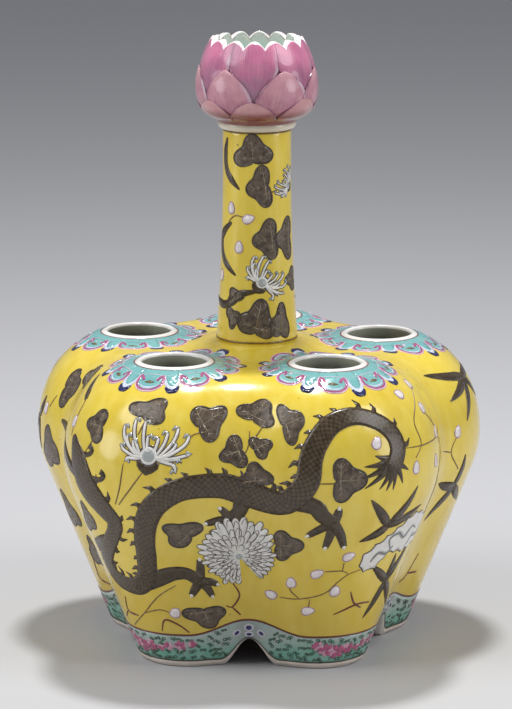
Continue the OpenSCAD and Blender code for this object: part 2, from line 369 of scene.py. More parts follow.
def yellow_ground():
    """Yellow enamel, brushed on unevenly, with a few dark specks from the kiln, and painted shade that
    darkens it from the belly down to the foot.
    """
    finish = Finish("yellow_ground")
    cloud = (finish.noise(26.0, 4.0) * 1.8 - 0.4).clamped()
    brushed = finish.noise(5.0, 3.0, (1, 1, 0.25))
    specks = finish.add("ShaderNodeTexVoronoi", {}, {"Vector": finish.place, "Scale": 75.0}, "Distance")
    height = finish.split(finish.place)[2]
    tone = finish.wash(
        (236, 210, 72),
        (cloud, (218, 187, 54)),
        (((brushed - 0.35) * 1.2).clamped(), (243, 223, 112)),
        ((1 - specks.between(0.02, 0.045)) * 0.75, (92, 62, 24)),
        # Painted shade: the yellow darkens from the belly down to the foot, as under a light from above
        (height.between(BELLY_Z * MM, 0.0) * 0.5, (200, 170, 70)))
    return finish.fired(tone, brushed * 0.1 + 0.14, finish.noise(7.0, 3.0) + brushed * 0.2, 0.10, 0.4, 0.1)


def lotus_enamel(name, root, tip, shade, fold, rim):
    """Pink enamel in fine brush lines along a petal, with painted shade at its sides, a dark outline that
    is also a painted shadow line where petals overlap, painted highlights on its turned-over edges and a
    red-brown foot.
    """
    finish = Finish(name)
    across, along, _ = finish.split(finish.brush)
    # The brush map counts whole petals, so this size leaves the stretch alone
    lines = finish.noise(1 / MM, 3.0, (22.0, 1.3, 1.0), finish.brush)
    mottle = (finish.noise(5.0, 3.0) * 2.0 - 0.5).clamped()
    cloud = (finish.noise(11.0, 2.0) * 2.6 - 0.8).clamped()
    side = abs(across)
    # Painted highlight along a petal's turned-over edge
    fold_highlight = across.between(0.8, 0.9) * along.between(0.3, 0.42) * along.between(0.85, 0.7) * cloud
    foot = finish.split(finish.place)[2].between((CUP_Z + 6.0) * MM, (CUP_Z + 2.0) * MM)
    tone = finish.wash(
        root,
        ((along + mottle * 0.4 - 0.2).between(0.15, 0.8), tip),
        (cloud * 0.75, shade),
        (lines.between(0.46, 0.64) * 0.3, (222, 176, 190)),
        (lines.between(0.56, 0.7) * 0.5, (132, 62, 96)),
        # Painted shade at the petal's sides, where it meets its neighbours
        (side.between(0.78, 1.0) * cloud * 0.7, (112, 56, 92)),
        (fold_highlight * fold, (228, 208, 220)),
        # A dark purple outline, also standing for the painted shadow line where petals overlap
        (side.between(0.96, 1.0) * 0.7, (104, 54, 84)),
        ((along + mottle * 0.015).between(0.98, 1.0) * rim, (244, 232, 232)),
        (foot * 0.85, (124, 60, 48)))
    return finish.fired(tone, mottle * 0.1 + 0.12, lines * 0.4 + mottle * 0.6, 0.2, 0.4)


def lotus_inside():
    """Pale grey-green glaze in the cup that turns white towards its notched edge."""
    finish = Finish("lotus_inside")
    along = finish.split(finish.brush)[1]
    cloud = finish.noise(5.0, 3.0)
    rim = (along + (cloud - 0.5) * 0.12).between(0.76, 0.97)
    tone = finish.wash((204, 238, 232), (cloud, (226, 246, 240)), (rim, (246, 242, 236)))
    return finish.fired(tone, cloud * 0.08 + 0.12, cloud, 0.10, 0.3)


YELLOW = yellow_ground()
WHITE = glaze("white_glaze", (238, 233, 224), (214, 207, 198), 9.0)
LIP = glaze("lip_white", (248, 246, 242), (232, 228, 222), 9.0)
# Grey-green glaze inside the mouths, made darker as painted shade for the dim bores
SHADED_BORE = glaze("bore_glaze_and_shade", (172, 174, 156), (146, 150, 134), 9.0)
CREAM = glaze("cream_glaze", (230, 222, 202), (206, 192, 170), 6.0)
TURQUOISE = glaze("turquoise_enamel", (136, 193, 190), (104, 168, 170), 7.0)


# Modelling helpers

SAME_POINT = 0.001
BORE_SLACK = 0.1


def finish_piece(bm, name, materials, nodes=(), thickness=0.0):
    """Turns a mesh in millimetres into a piece of the vase, on the body that carries all."""
    bmesh.ops.scale(bm, vec=(MM, MM, MM), verts=bm.verts)
    mesh = bpy.data.meshes.new(name)
    for face in bm.faces:
        face.smooth = True
    bm.to_mesh(mesh)
    bm.free()
    for material in materials:
        mesh.materials.append(material)
    piece = bpy.data.objects.new(name, mesh)
    bpy.context.scene.collection.objects.link(piece)
    if thickness:
        wall = piece.modifiers.new("wall", "SOLIDIFY")
        wall.thickness = thickness * MM
        wall.offset = -1.0
    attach(piece, "root")
    if nodes:
        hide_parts(*nodes)


def close_seams(bm):
    """Merges doubled points and turns all faces outwards."""
    bmesh.ops.remove_doubles(bm, verts=bm.verts, dist=SAME_POINT)
    bmesh.ops.recalc_face_normals(bm, faces=bm.faces)


def turn_outwards(bm):
    """Turns the faces of open sheets away from the vase's axis."""
    bmesh.ops.remove_doubles(bm, verts=bm.verts, dist=SAME_POINT)
    bm.normal_update()
    for face in bm.faces:
        if face.normal.xy.dot(face.calc_center_median().xy) < 0:
            face.normal_flip()


def turned(outline, steps=128, centre=(0, 0, 0)):
    """A turned shape from a closed outline of radii and heights."""
    bm = bmesh.new()
    points = [bm.verts.new((r, 0, z)) for r, z in outline]
    for first, second in zip(points, points[1:] + points[:1]):
        bm.edges.new((first, second))
    bmesh.ops.spin(bm, geom=bm.verts[:] + bm.edges[:], cent=(0, 0, 0), axis=(0, 0, 1),
                   angle=2 * math.pi, steps=steps, use_merge=True)
    bmesh.ops.translate(bm, vec=centre, verts=bm.verts)
    close_seams(bm)
    return bm


def unit_tube(segments, rows):
    """An open tube of radius 1 with its rows at heights 0, 1, 2 and so on, to be bent to shape."""
    bm = bmesh.new()
    bmesh.ops.create_circle(bm, segments=segments, radius=1.0)
    edges = bm.edges[:]
    for _ in range(rows):
        grown = bmesh.ops.extrude_edge_only(bm, edges=edges)["geom"]
        edges = [part for part in grown if isinstance(part, bmesh.types.BMEdge)]
        moved = [part for part in grown if isinstance(part, bmesh.types.BMVert)]
        bmesh.ops.translate(bm, vec=(0, 0, 1), verts=moved)
    return bm


def bend_tube(bm, shape):
    """Moves each point of a unit tube to shape(angle in degrees, row)."""
    for vert in bm.verts:
        vert.co = shape(math.degrees(math.atan2(vert.co.y, vert.co.x)), vert.co.z)


def glaze_bore(bm, axis, radius):
    """Gives the faces of a bore round an axis the piece's second material."""
    for face in bm.faces:
        if max((vert.co - axis).xy.length for vert in face.verts) < radius + BORE_SLACK:
            face.material_index = 1


def curve(points, step=1.5):
    """A smooth path through given points."""
    path = []
    ends = [points[0], *points, points[-1]]
    for p0, p1, p2, p3 in zip(ends, ends[1:], ends[2:], ends[3:]):
        count = max(int(math.dist(p1, p2) / step), 1)
        for i in range(count):
            t = i / count
            path.append(tuple(
                0.5 * (2 * b + (c - a) * t + (2 * a - 5 * b + 4 * c - d) * t * t
                       + (3 * b - a - 3 * c + d) * t ** 3)
                for a, b, c, d in zip(p0, p1, p2, p3)))
    return path + [tuple(points[-1])]


# The body: one skin from the feet over the lobes to the shoulder, with its inner wall

CEILING_ROWS = 24
INNER_ROWS = 24
FOOT_ROWS = 8
SIDE_ROWS = 56
TOP_ROWS = 40
INSIDE_ROWS = CEILING_ROWS + INNER_ROWS + 3
ROUND_STEPS = 450
FOOT_TOP = 26.0
CEILING_Z = SHOULDER_Z - WALL
MOUTH_HOLE_R = 14.9
NECK_HOLE_R = 14.5
FOOT_EDGE = 0.7
CUT_SLACK = 0.1
RING_SLACK = 2.0


def body_shape(angle, row):
    """The body's skin: along the ceiling, down inside, across the foot rim and up to the shoulder."""
    arch = arch_z(angle)
    start = climb_at(arch + FOOT_EDGE)
    if row <= CEILING_ROWS:
        edge = plan_radius(angle, CROWN_R - WALL)
        return polar(NECK_HOLE_R + (edge - NECK_HOLE_R) * row / CEILING_ROWS, angle, CEILING_Z)
    row -= CEILING_ROWS
    if row <= INNER_ROWS:
        r, z = lobe_side(CROWN_CLIMB + (start - CROWN_CLIMB) * row / INNER_ROWS)
        return polar(plan_radius(angle, r - WALL), angle, min(z, CEILING_Z))
    row -= INNER_ROWS + 1
    if row <= 1:
        inset = WALL - FOOT_EDGE if row == 0 else FOOT_EDGE
        return polar(plan_radius(angle, lobe_side(climb_at(arch))[0] - inset), angle, arch)
    row -= 2
    if row <= FOOT_ROWS:
        return on_body(angle, start + (FOOT_TOP - start) * row / FOOT_ROWS)
    row -= FOOT_ROWS
    if row <= SIDE_ROWS:
        return on_body(angle, FOOT_TOP + (CROWN_CLIMB - FOOT_TOP) * row / SIDE_ROWS)
    edge = plan_radius(angle, CROWN_R)
    rho = edge + (NECK_HOLE_R - edge) * (row - SIDE_ROWS) / TOP_ROWS
    return polar(rho, angle, SHOULDER_Z + swell(rho, angle))


def open_mouth(bm, centre):
    """Cuts a round mouth through the shoulder and its ceiling."""
    plug = [face for face in bm.faces if face.calc_center_median().z > CEILING_Z - CUT_SLACK
            and (face.calc_center_median().xy - centre).length < MOUTH_HOLE_R]
    bmesh.ops.delete(bm, geom=plug, context="FACES")
    ring = [edge for edge in bm.edges
            if edge.is_boundary and (edge.verts[0].co.xy - centre).length < LIP_R + RING_SLACK]
    for vert in {vert for edge in ring for vert in edge.verts}:
        vert.co.xy = centre + (vert.co.xy - centre).normalized() * MOUTH_HOLE_R
    bmesh.ops.bridge_loops(bm, edges=ring)


def build_body():
    bm = unit_tube(ROUND_STEPS, INSIDE_ROWS + FOOT_ROWS + SIDE_ROWS + TOP_ROWS)
    for face in bm.faces:
        face.material_index = 1 if face.calc_center_median().z < INSIDE_ROWS else 0
    bend_tube(bm, body_shape)
    bmesh.ops.bridge_loops(bm, edges=[edge for edge in bm.edges if edge.is_boundary])
    for i in range(LOBES):
        open_mouth(bm, polar(MOUTH_AXIS_R, FIRST_LOBE + LOBE_TURN * i, 0).xy)
    close_seams(bm)
    nodes = ["lobe_" + name for name in LOBE_NAMES] + ["crease_" + name for name in CREASE_NAMES]
    finish_piece(bm, "body_skin", [YELLOW, WHITE], nodes + ["shoulder_plate"])


build_body()


# The neck with its mound, the mouth rims, the collar and the cup of the lotus

LAP = 0.5
MOUND_SUNK = 0.06
NECK_SUNK = 0.3
FIT = 0.1
SPIGOT_H = 4.0
MOUND_STEPS = 20
NECK_STEPS = 40
BEAD_STEPS = 16


def build_neck():
    outline = [(NECK_HOLE_R, SHOULDER_Z - LAP), (MOUND_R, SHOULDER_Z - LAP)]
    outline += [(rho, SHOULDER_Z - MOUND_SUNK + mound_rise(rho))
                for rho in spread(MOUND_R, NECK_BASE_R, MOUND_STEPS)]
    outline += [(NECK_HOLE_R, SHOULDER_Z + MOUND_H)]
    mound = turned(outline)
    for vert in mound.verts:
        if vert.co.z > SHOULDER_Z - LAP / 2:
            vert.co.z += swell(vert.co.xy.length, math.degrees(math.atan2(vert.co.y, vert.co.x)))
    finish_piece(mound, "neck_mound_glazed", [YELLOW], ["neck_mound"])
    tube = [(neck_radius(h), NECK_Z + h) for h in spread(-NECK_SUNK, COLLAR_Z - NECK_Z + LAP, NECK_STEPS)]
    tube += [(NECK_BORE_R, COLLAR_Z + SPIGOT_H), (NECK_BORE_R, CEILING_Z - LAP),
             (NECK_HOLE_R - FIT, CEILING_Z - LAP), (NECK_HOLE_R - FIT, NECK_Z - NECK_SUNK)]
    neck = turned(tube)
    glaze_bore(neck, Vector(), NECK_BORE_R)
    finish_piece(neck, "neck_glazed", [YELLOW, WHITE], ["neck_tube"])
    half = (CUP_Z - COLLAR_Z) / 2
    bead = COLLAR_R - NECK_TOP_R
    ring = [(NECK_TOP_R + bead * math.cos(a), COLLAR_Z + half + half * math.sin(a))
            for a in spread(-math.pi / 2, math.pi / 2, BEAD_STEPS)]
    ring += [(NECK_BORE_R + LAP, CUP_Z), (NECK_BORE_R + LAP, COLLAR_Z)]
    finish_piece(turned(ring), "collar_glazed", [CREAM], ["neck_collar"])


# The round of a mouth's lip as steps out from the bore and down from the top
LIP_ROUND = [(0.0, 1.4), (0.3, 0.4), (1.1, 0.0), (2.2, 0.35), (2.9, 0.9), (3.1, 1.7)]
LIP_H = 1.7
LIP_STEP = 0.25
MOUTH_STEPS = 96
SHANK_EASE = 0.7
SHANK_LOW_Z = CEILING_Z - 1.0


def build_mouth_rims():
    top = LIP_TOP_Z - FIT
    outline = [(MOUTH_BORE_R, SHANK_LOW_Z)]
    outline += curve([(MOUTH_BORE_R + out, top - down) for out, down in LIP_ROUND], LIP_STEP)
    outline += [(SHANK_R - SHANK_EASE, top - LIP_H), (SHANK_R - SHANK_EASE, SHANK_LOW_Z)]
    for i, name in enumerate(LOBE_NAMES):
        axis = polar(MOUTH_AXIS_R, FIRST_LOBE + LOBE_TURN * i, 0)
        bm = turned(outline, MOUTH_STEPS, axis)
        glaze_bore(bm, axis, MOUTH_BORE_R)
        finish_piece(bm, "mouth_rim_glazed_" + name, [LIP, SHADED_BORE], ["mouth_rim_" + name])


build_neck()
build_mouth_rims()

LOTUS_LOWER = lotus_enamel("lotus_lower", (154, 80, 86), (212, 162, 160), (184, 116, 124), 0.0, 0.0)
LOTUS_MIDDLE = lotus_enamel("lotus_middle", (158, 82, 106), (226, 172, 178), (188, 122, 146), 0.9, 0.0)
LOTUS_UPPER = lotus_enamel("lotus_upper", (166, 134, 152), (212, 122, 157), (164, 90, 128), 0.9, 0.9)
LOTUS_INSIDE = lotus_inside()
NOTCHES = 2 * PETALS
NOTCH_STEPS = 14
NOTCH_ROUND = 0.8
CUP_ROWS = 40
CUP_UNDER = 0.4
CUP_FLOOR = 1.5
CUP_EDGE = 0.6
PETAL_WALL = 1.6
PETAL_STEP = 360.0 / PETALS
PETAL_COLUMNS = 24
PETAL_ROWS = 28
EDGE_GAP = 0.2
# How far a petal strays: degrees round the cup, share of its width and degrees at its tip
PETAL_SHIFT = 2.0
PETAL_WIDER = 0.06
PETAL_LEAN = 5.0
FRONT = -90.0


def rim_height(angle):
    """Height of the notched edge of the cup: round tips with sharp valleys."""
    tip = abs(math.cos(math.radians(angle - FRONT) * NOTCHES / 2))
    return CUP_H - NOTCH_DEPTH * (1 - tip ** NOTCH_ROUND)


def build_cup():
    rows = CUP_ROWS

    def shape(angle, row):
        top = rim_height(angle)
        if row <= rows:
            h = top * row / rows
            return polar(cup_radius(h) - CUP_UNDER, angle, CUP_Z + h)
        h = CUP_FLOOR + (top - CUP_FLOOR) * (2 * rows + 1 - row) / rows
        return polar(max(cup_radius(h) - CUP_WALL, NECK_BORE_R), angle, CUP_Z + h)

    bm = unit_tube(NOTCH_STEPS * NOTCHES, 2 * rows + 1)
    rim = [edge for edge in bm.edges if all(vert.co.z in (rows, rows + 1) for vert in edge.verts)
           and edge.verts[0].co.z == edge.verts[1].co.z]
    brush = bm.loops.layers.uv.new("brush")
    for face in bm.faces:
        face.material_index = 1 if face.calc_center_median().z > rows else 0
        for loop in face.loops:
            row = loop.vert.co.z
            loop[brush].uv = (0.0, min(row, 2 * rows + 1 - row) / rows)
    bend_tube(bm, shape)
    bmesh.ops.bridge_loops(bm, edges=[edge for edge in bm.edges if edge.is_boundary])
    bmesh.ops.bevel(bm, geom=rim, offset=CUP_EDGE, affect="EDGES", segments=3, profile=0.5, material=-1)
    close_seams(bm)
    finish_piece(bm, "lotus_cup_glazed", [LOTUS_UPPER, LOTUS_INSIDE], ["lotus_cup"])


def petal_row(name, material, half_width, foot, top, out, bulge, curl, first, uneven):
    """A row of seven petals on the cup, each a bulging sheet whose edges turn out a little."""
    dice = random.Random(name)
    bm = bmesh.new()
    brush = bm.loops.layers.uv.new("brush")
    for k in range(PETALS):
        middle = first + PETAL_STEP * k + uneven * dice.uniform(-PETAL_SHIFT, PETAL_SHIFT)
        lean, taller, wider = [uneven * dice.uniform(-1, 1) for _ in range(3)]
        sheet = bmesh.ops.create_grid(bm, x_segments=PETAL_COLUMNS, y_segments=PETAL_ROWS,
                                      size=1.0)["verts"]
        for face in {face for vert in sheet for face in vert.link_faces}:
            for loop in face.loops:
                loop[brush].uv = (loop.vert.co.x, (loop.vert.co.y + 1) / 2)
        for vert in sheet:
            across, along = vert.co.x, (vert.co.y + 1) / 2
            h = foot + (top + taller - foot) * along
            radius = cup_radius(max(h, 0.0))
            half = half_width(along, radius) * (1 + PETAL_WIDER * wider)
            angle = middle + math.degrees(across * half / radius) + PETAL_LEAN * lean * along
            if top == CUP_H:
                h = foot + (rim_height(angle) - EDGE_GAP - foot) * along
            lift = bulge * (1 - across * across) * math.sin(math.pi * (0.12 + 0.8 * along))
            lift += out * min(0.4 + 2 * along, 1.0)
            lift += curl * abs(across) ** 4 * math.sin(math.pi * along)
            vert.co = polar(max(cup_radius(max(h, 0.0)), COLLAR_R) + lift, angle, CUP_Z + h)
    turn_outwards(bm)
    nodes = ["lotus_%s_petal_%d" % (name, k + 1) for k in range(PETALS)]
    finish_piece(bm, "lotus_%s_petals" % name, [material], nodes, thickness=PETAL_WALL)


def dome(along, radius):
    """A low petal with a blunt point, widest at its foot."""
    return min(10.6, 0.5 * radius) * max(1 - along ** 1.9, 0.0) ** 0.62


def leaf_shaped(along, radius):
    """A full petal with a blunt point, widest below its middle."""
    return min(11.0, 0.5 * radius) * max(math.sin(math.pi * (0.14 + 0.86 * along ** 0.9)), 0.0) ** 0.72


def fan(along, radius):
    """A petal that opens from a point until it meets its neighbours below the edge of the cup."""
    return math.pi / PETALS * radius * min(0.03 + along / 0.6, 1.0)


build_cup()
petal_row("upper", LOTUS_UPPER, fan, foot=7.0, top=CUP_H, out=0.3, bulge=0.7, curl=0.3,
          first=FRONT, uneven=0)
petal_row("middle", LOTUS_MIDDLE, leaf_shaped, foot=1.5, top=22.0, out=0.9, bulge=0.9, curl=0.6,
          first=FRONT + PETAL_STEP / 2, uneven=1)
petal_row("lower", LOTUS_LOWER, dome, foot=-1.2, top=9.8, out=1.5, bulge=0.7, curl=0.4,
          first=FRONT, uneven=1)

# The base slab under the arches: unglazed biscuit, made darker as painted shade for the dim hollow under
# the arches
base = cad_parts["base_slab"]
base.data.materials.clear()
base.data.materials.append(glaze("biscuit_darkened_as_shade", (132, 106, 84), (98, 76, 58), 6.0, 0.5, 0.04))


# Enamel painting: thin coloured shapes that lie on the porcelain

ENAMELS = []
BEDDED = 0.15


class Enamel:
    """One colour of enamel, gathered as thin shapes that lie on the porcelain."""

    def __init__(self, name, material, lift):
        self.name = name
        self.material = material
        self.lift = lift
        self.mesh = bmesh.new()
        self.mesh.loops.layers.uv.new("brush")
        ENAMELS.append(self)

    def lay(self, flat, ground, brushed):
        """Bends a flat mesh to the ground; brushed gives each point's place in its own stroke."""
        flat.normal_update()
        brush = flat.loops.layers.uv.new("brush")
        for face in flat.faces:
            if face.normal.z < 0:
                face.normal_flip()
            for loop in face.loops:
                loop[brush].uv = brushed[loop.vert]
        for vert in flat.verts:
            vert.co = lifted(ground, *vert.co.xy, self.lift)
        gathered = bpy.data.meshes.new("gathered")
        flat.to_mesh(gathered)
        flat.free()
        self.mesh.from_mesh(gathered)
        bpy.data.meshes.remove(gathered)

    def patch(self, ground, outline, grain=2.0):
        """A filled shape."""
        flat = bmesh.new()
        flat.faces.new([flat.verts.new((x, y, 0)) for x, y in outline])
        bmesh.ops.triangulate(flat, faces=flat.faces)
        for axis in (0, 1):
            places = [point[axis] for point in outline]
            way = Vector((axis == 0, axis == 1, 0))
            for i in range(int((max(places) - min(places)) / grain)):
                bmesh.ops.bisect_plane(flat, geom=flat.verts[:] + flat.edges[:] + flat.faces[:],
                                       plane_co=way * (min(places) + grain * (i + 0.5)), plane_no=way)
        self.lay(flat, ground, {vert: vert.co.xy for vert in flat.verts})

    def stroke(self, ground, path, widths, columns=1):
        """A brush stroke along a path, as wide as the widths say from its start to its end."""
        rows = len(path) - 1
        flat = bmesh.new()
        bmesh.ops.create_grid(flat, x_segments=columns, y_segments=rows, size=1.0)
        walked = [0.0]
        for first, second in zip(path, path[1:]):
            walked.append(walked[-1] + math.dist(first, second))
        brushed = {}
        for vert in flat.verts:
            i = round((vert.co.y + 1) / 2 * rows)
            (x0, y0), (x1, y1) = path[max(i - 1, 0)], path[min(i + 1, rows)]
            along = Vector((x1 - x0, y1 - y0)).normalized()
            reach = i / rows * (len(widths) - 1)
            low = min(int(reach), len(widths) - 2)
            half = (widths[low] + (widths[low + 1] - widths[low]) * (reach - low)) / 2
            aside = vert.co.x * half
            brushed[vert] = (aside, walked[i])
            vert.co = (path[i][0] + along.y * aside, path[i][1] - along.x * aside, 0)
        self.lay(flat, ground, brushed)

    def fire(self):
        """Makes the gathered shapes one piece."""
        finish_piece(self.mesh, self.name, [self.material], thickness=self.lift + BEDDED)


# Millimetres across a flat scroll for each degree round the body or the neck
SCROLL = 1.6
NECK_SCROLL = math.radians(1) * (NECK_BASE_R + NECK_TOP_R) / 2


def scroll(x, y):
    """The whole body as one flat scroll."""
    return on_body(x / SCROLL, y)


def body_at(angle, climb):
    """A flat drawing laid on the body round one place."""
    return lambda x, y: on_body(angle + math.degrees(x / girth(angle, climb + y)), climb + y)


def on_neck(angle, z):
    """Point on the outside of the neck."""
    return polar(neck_radius(z - NECK_Z), angle, z)


def neck_at(angle, z):
    """A flat drawing laid on the neck round one place."""
    return lambda x, y: on_neck(angle + math.degrees(x / neck_radius(z + y - NECK_Z)), z + y)


def neck_scroll(x, y):
    """The whole neck as one flat scroll."""
    return on_neck(x / NECK_SCROLL, y)


def rolled(places, shift, wide=SCROLL):
    """Places as degrees and heights, turned by some degrees, as points of a flat scroll."""
    return [((angle + shift) * wide, up) for angle, up in places]


def heading(length, degrees):
    """Point at a distance from the middle of a drawing."""
    return length * math.cos(math.radians(degrees)), length * math.sin(math.radians(degrees))


def spun(x, y, turn):
    """Point of a drawing that is turned about its middle."""
    return heading(math.hypot(x, y), math.degrees(math.atan2(y, x)) + turn)


def oval(length, width, turn, steps, taper=0.0):
    """Outline of an oval whose length points along the turn and whose far end is narrower."""
    outline = []
    for i in range(steps):
        x, y = heading(1.0, 360.0 * i / steps)
        outline.append(spun(x * length / 2, y * width / 2 * (1 - taper * x), turn))
    return outline


def brown_enamel(name, tone, shade, scale_mm=0.0):
    """Blackish brown enamel with pale mottling, and rows of scales where it has a scale size."""
    finish = Finish(name)
    mottle = (finish.noise(2.2, 4.0) * 1.8 - 0.4).clamped()
    washes = [(mottle, tone)]
    if scale_mm:
        aside, along, _ = finish.split(finish.brush)
        rising = abs(((along + aside) / scale_mm).wave())
        falling = abs(((along - aside) / scale_mm).wave())
        washes.append(((rising * falling).between(0.45, 0.05) * 0.75, (30, 23, 15)))
    return finish.fired(finish.wash(shade, *washes), mottle * 0.15 + 0.22, mottle, 0.05, 0.15, 0.1)


LEAF = Enamel("leaves", brown_enamel("leaf_enamel", (116, 100, 84), (50, 41, 33)), 0.12)
LEAF_EDGE = Enamel("leaf_edges", brown_enamel("edge_ink", (72, 60, 48), (46, 38, 30)), 0.16)
LEAF_VEIN = Enamel("leaf_veins", brown_enamel("vein_enamel", (150, 136, 112), (106, 94, 76)), 0.18)
RUFFLE = Enamel("ruffled_petals", glaze("ruffle_white", (238, 234, 226), (208, 206, 204), 4.0), 0.20)
DRAGON = Enamel("dragon_body", brown_enamel("dragon_enamel", (98, 81, 57), (60, 48, 32), 0.8), 0.15)
THORN = Enamel("dragon_limbs", brown_enamel("limb_enamel", (80, 66, 46), (54, 43, 29)), 0.13)
INK = Enamel("twigs", brown_enamel("twig_ink", (136, 106, 54), (98, 74, 36)), 0.12)
BLADE = Enamel("bamboo_blades", brown_enamel("blade_enamel", (84, 68, 48), (46, 36, 26)), 0.15)
RED_INK = Enamel("red_twigs", glaze("iron_red", (122, 52, 24), (88, 36, 18), 4.0), 0.14)
PETAL_INK = Enamel("petal_outlines", glaze("petal_ink", (104, 94, 88), (72, 64, 60), 3.0), 0.12)
PETAL = Enamel("white_petals", glaze("petal_white", (243, 240, 232), (216, 213, 208), 3.0), 0.20)
PETAL_SHADE = Enamel("petal_shades", glaze("grey_enamel", (186, 190, 188), (150, 157, 156), 3.0), 0.24)
PETAL_LINE = Enamel("petal_folds", PETAL_INK.material, 0.27)
BUD_INK = Enamel("bud_outlines", glaze("lilac_enamel", (190, 158, 168), (160, 130, 140), 3.0), 0.12)
BUD = Enamel("buds", glaze("bud_white", (242, 236, 232), (222, 208, 212), 3.0), 0.18)


# Motifs

LEAF_STEPS = 54
LEAF_NOTCH = 122.0
EDGE_WIDTH = 0.65
# Veins from a share of the way to the notch up to a share of the way to a lobe's tip
VEIN_ROOT = 0.6
VEIN_TIP = 0.85
VEIN_WIDTHS = [0.5, 0.4, 0.15]
SIDE_VEIN_SHARE = 0.3
SIDE_VEIN_WIDTHS = [0.35, 0.12]
VEIN_LOBES = (-100, 0, 100)
SIDE_VEINS = [(share, side) for share in (0.35, 0.65) for side in (-42, 42)]
BUD_STEPS = 20
BUD_TAPER = 0.25
BUD_OUTLINE = 1.0
# Widths along a narrow petal and along its outline, as shares of the petal's width
PETAL_SHARES = (0.3, 0.75, 0.8, 0.8, 0.5)
OUTLINE_SHARES = (0.5, 1, 1, 1, 0.4)


def trefoil(width, height, turn):
    """Outline of a leaf with three round lobes, from the notch at its stem."""
    points = []
    for i in range(LEAF_STEPS):
        off = 360.0 * i / LEAF_STEPS - 180.0
        reach = (0.84 + 0.16 * math.cos(math.radians(3.6 * off))
                 + 0.05 * math.cos(math.radians(2 * off + turn)))
        notch = max(abs(off) - LEAF_NOTCH, 0.0) / (180.0 - LEAF_NOTCH)
        points.append(heading(reach * (1 - 0.66 * notch ** 1.6), turn + off))
    wide = max(x for x, _ in points) - min(x for x, _ in points)
    high = max(y for _, y in points) - min(y for _, y in points)
    return [(x * width / wide, y * height / high) for x, y in points]


def paint_leaf(ground, width, height, turn):
    """A three-lobed leaf with a dark outline and pale veins from its stem."""
    outline = trefoil(width, height, turn)
    LEAF.patch(ground, outline)
    LEAF_EDGE.stroke(ground, outline + outline[:2], [EDGE_WIDTH, EDGE_WIDTH])
    root = Vector(outline[0]) * VEIN_ROOT
    for lobe in VEIN_LOBES:
        tip = Vector(outline[round((lobe + 180) / 360 * LEAF_STEPS)]) * VEIN_TIP
        LEAF_VEIN.stroke(ground, [root[:], root.lerp(tip, 0.5)[:], tip[:]], VEIN_WIDTHS)
        for share, side in SIDE_VEINS:
            start = root.lerp(tip, share)
            end = start + Vector(spun(*(tip - root) * SIDE_VEIN_SHARE, side))
            LEAF_VEIN.stroke(ground, [start[:], end[:]], SIDE_VEIN_WIDTHS)


def paint_bud(ground, length, width, turn):
    """A white bud with a lilac outline."""
    for enamel, grow in ((BUD_INK, BUD_OUTLINE), (BUD, 0.0)):
        enamel.patch(ground, oval(length + grow, width + grow, turn, BUD_STEPS, BUD_TAPER))


def paint_petal(ground, path, width, ink):
    """A narrow white petal with a dark outline."""
    path = curve(path, 1.0)
    PETAL_INK.stroke(ground, path, [width * share + ink for share in OUTLINE_SHARES])
    PETAL.stroke(ground, path[:-1], [width * share for share in PETAL_SHARES])


# Tips of the petals of a curled flower and the outline of its calyx, from its eye, in shares of its size
CURLED_TIPS = [
    (-0.59, -0.16), (-0.74, 0.2), (-0.72, 0.66), (-0.46, 0.84), (-0.2, 0.8), (-0.07, 0.46), (0.18, 0.42),
    (0.38, 0.56), (0.61, 0.68), (0.9, 0.5), (1.0, 0.08), (0.67, -0.35), (-0.43, 0.32), (-0.6, 0.44),
    (0.62, 0.3), (0.8, -0.1)]
CALYX = [
    (-0.29, -0.12), (0.28, -0.16), (0.25, -0.3), (0.12, -0.4), (-0.05, -0.47), (-0.2, -0.36),
    (-0.28, -0.25)]


def paint_curled_flower(ground, size, turn=0.0):
    """A flower head seen from the side, with thin petals that curl up on both sides of its eye."""

    def spot(x, y):
        return spun(size * x, size * y, turn)

    for x, y in CURLED_TIPS:
        side = 1 if x > 0 else -1
        bend = [spot(x * 0.5, y * 0.15 - 0.06), spot(x * 0.92, y * 0.55), spot(x, y)]
        hook = [spot(x, y), spot(x - side * 0.08, y + 0.04), spot(x - side * 0.11, y - 0.05)]
        paint_petal(ground, [spot(side * 0.12, -0.03)] + bend + hook[1:], size * 0.08, 0.6)
        PETAL_SHADE.stroke(ground, hook, [size * 0.04, size * 0.06, size * 0.03])
    disc = [heading(size * 0.21, 18 * i) for i in range(20)]
    PETAL_INK.patch(ground, [(x * 1.25, y * 1.25) for x, y in disc])
    PETAL.patch(ground, disc)
    PETAL_SHADE.patch(ground, [(x * 0.7, y * 0.7) for x, y in disc])
    THORN.patch(ground, [spot(x, y) for x, y in CALYX])


SHAGGY_PETALS = 30
SHAGGY_FIRST = -54.0
SHAGGY_OPEN = 326.0
# Rings of drawn petals as their reach and count, and one petal's line as shares of reach and half width
SHAGGY_RINGS = [(0.98, 28), (0.76, 22), (0.55, 16), (0.34, 9)]
SHAGGY_LINE = [(0.5, -0.5), (0.8, -0.8), (0.95, -0.45), (1.0, 0.1), (0.93, 0.55), (0.84, 0.7)]


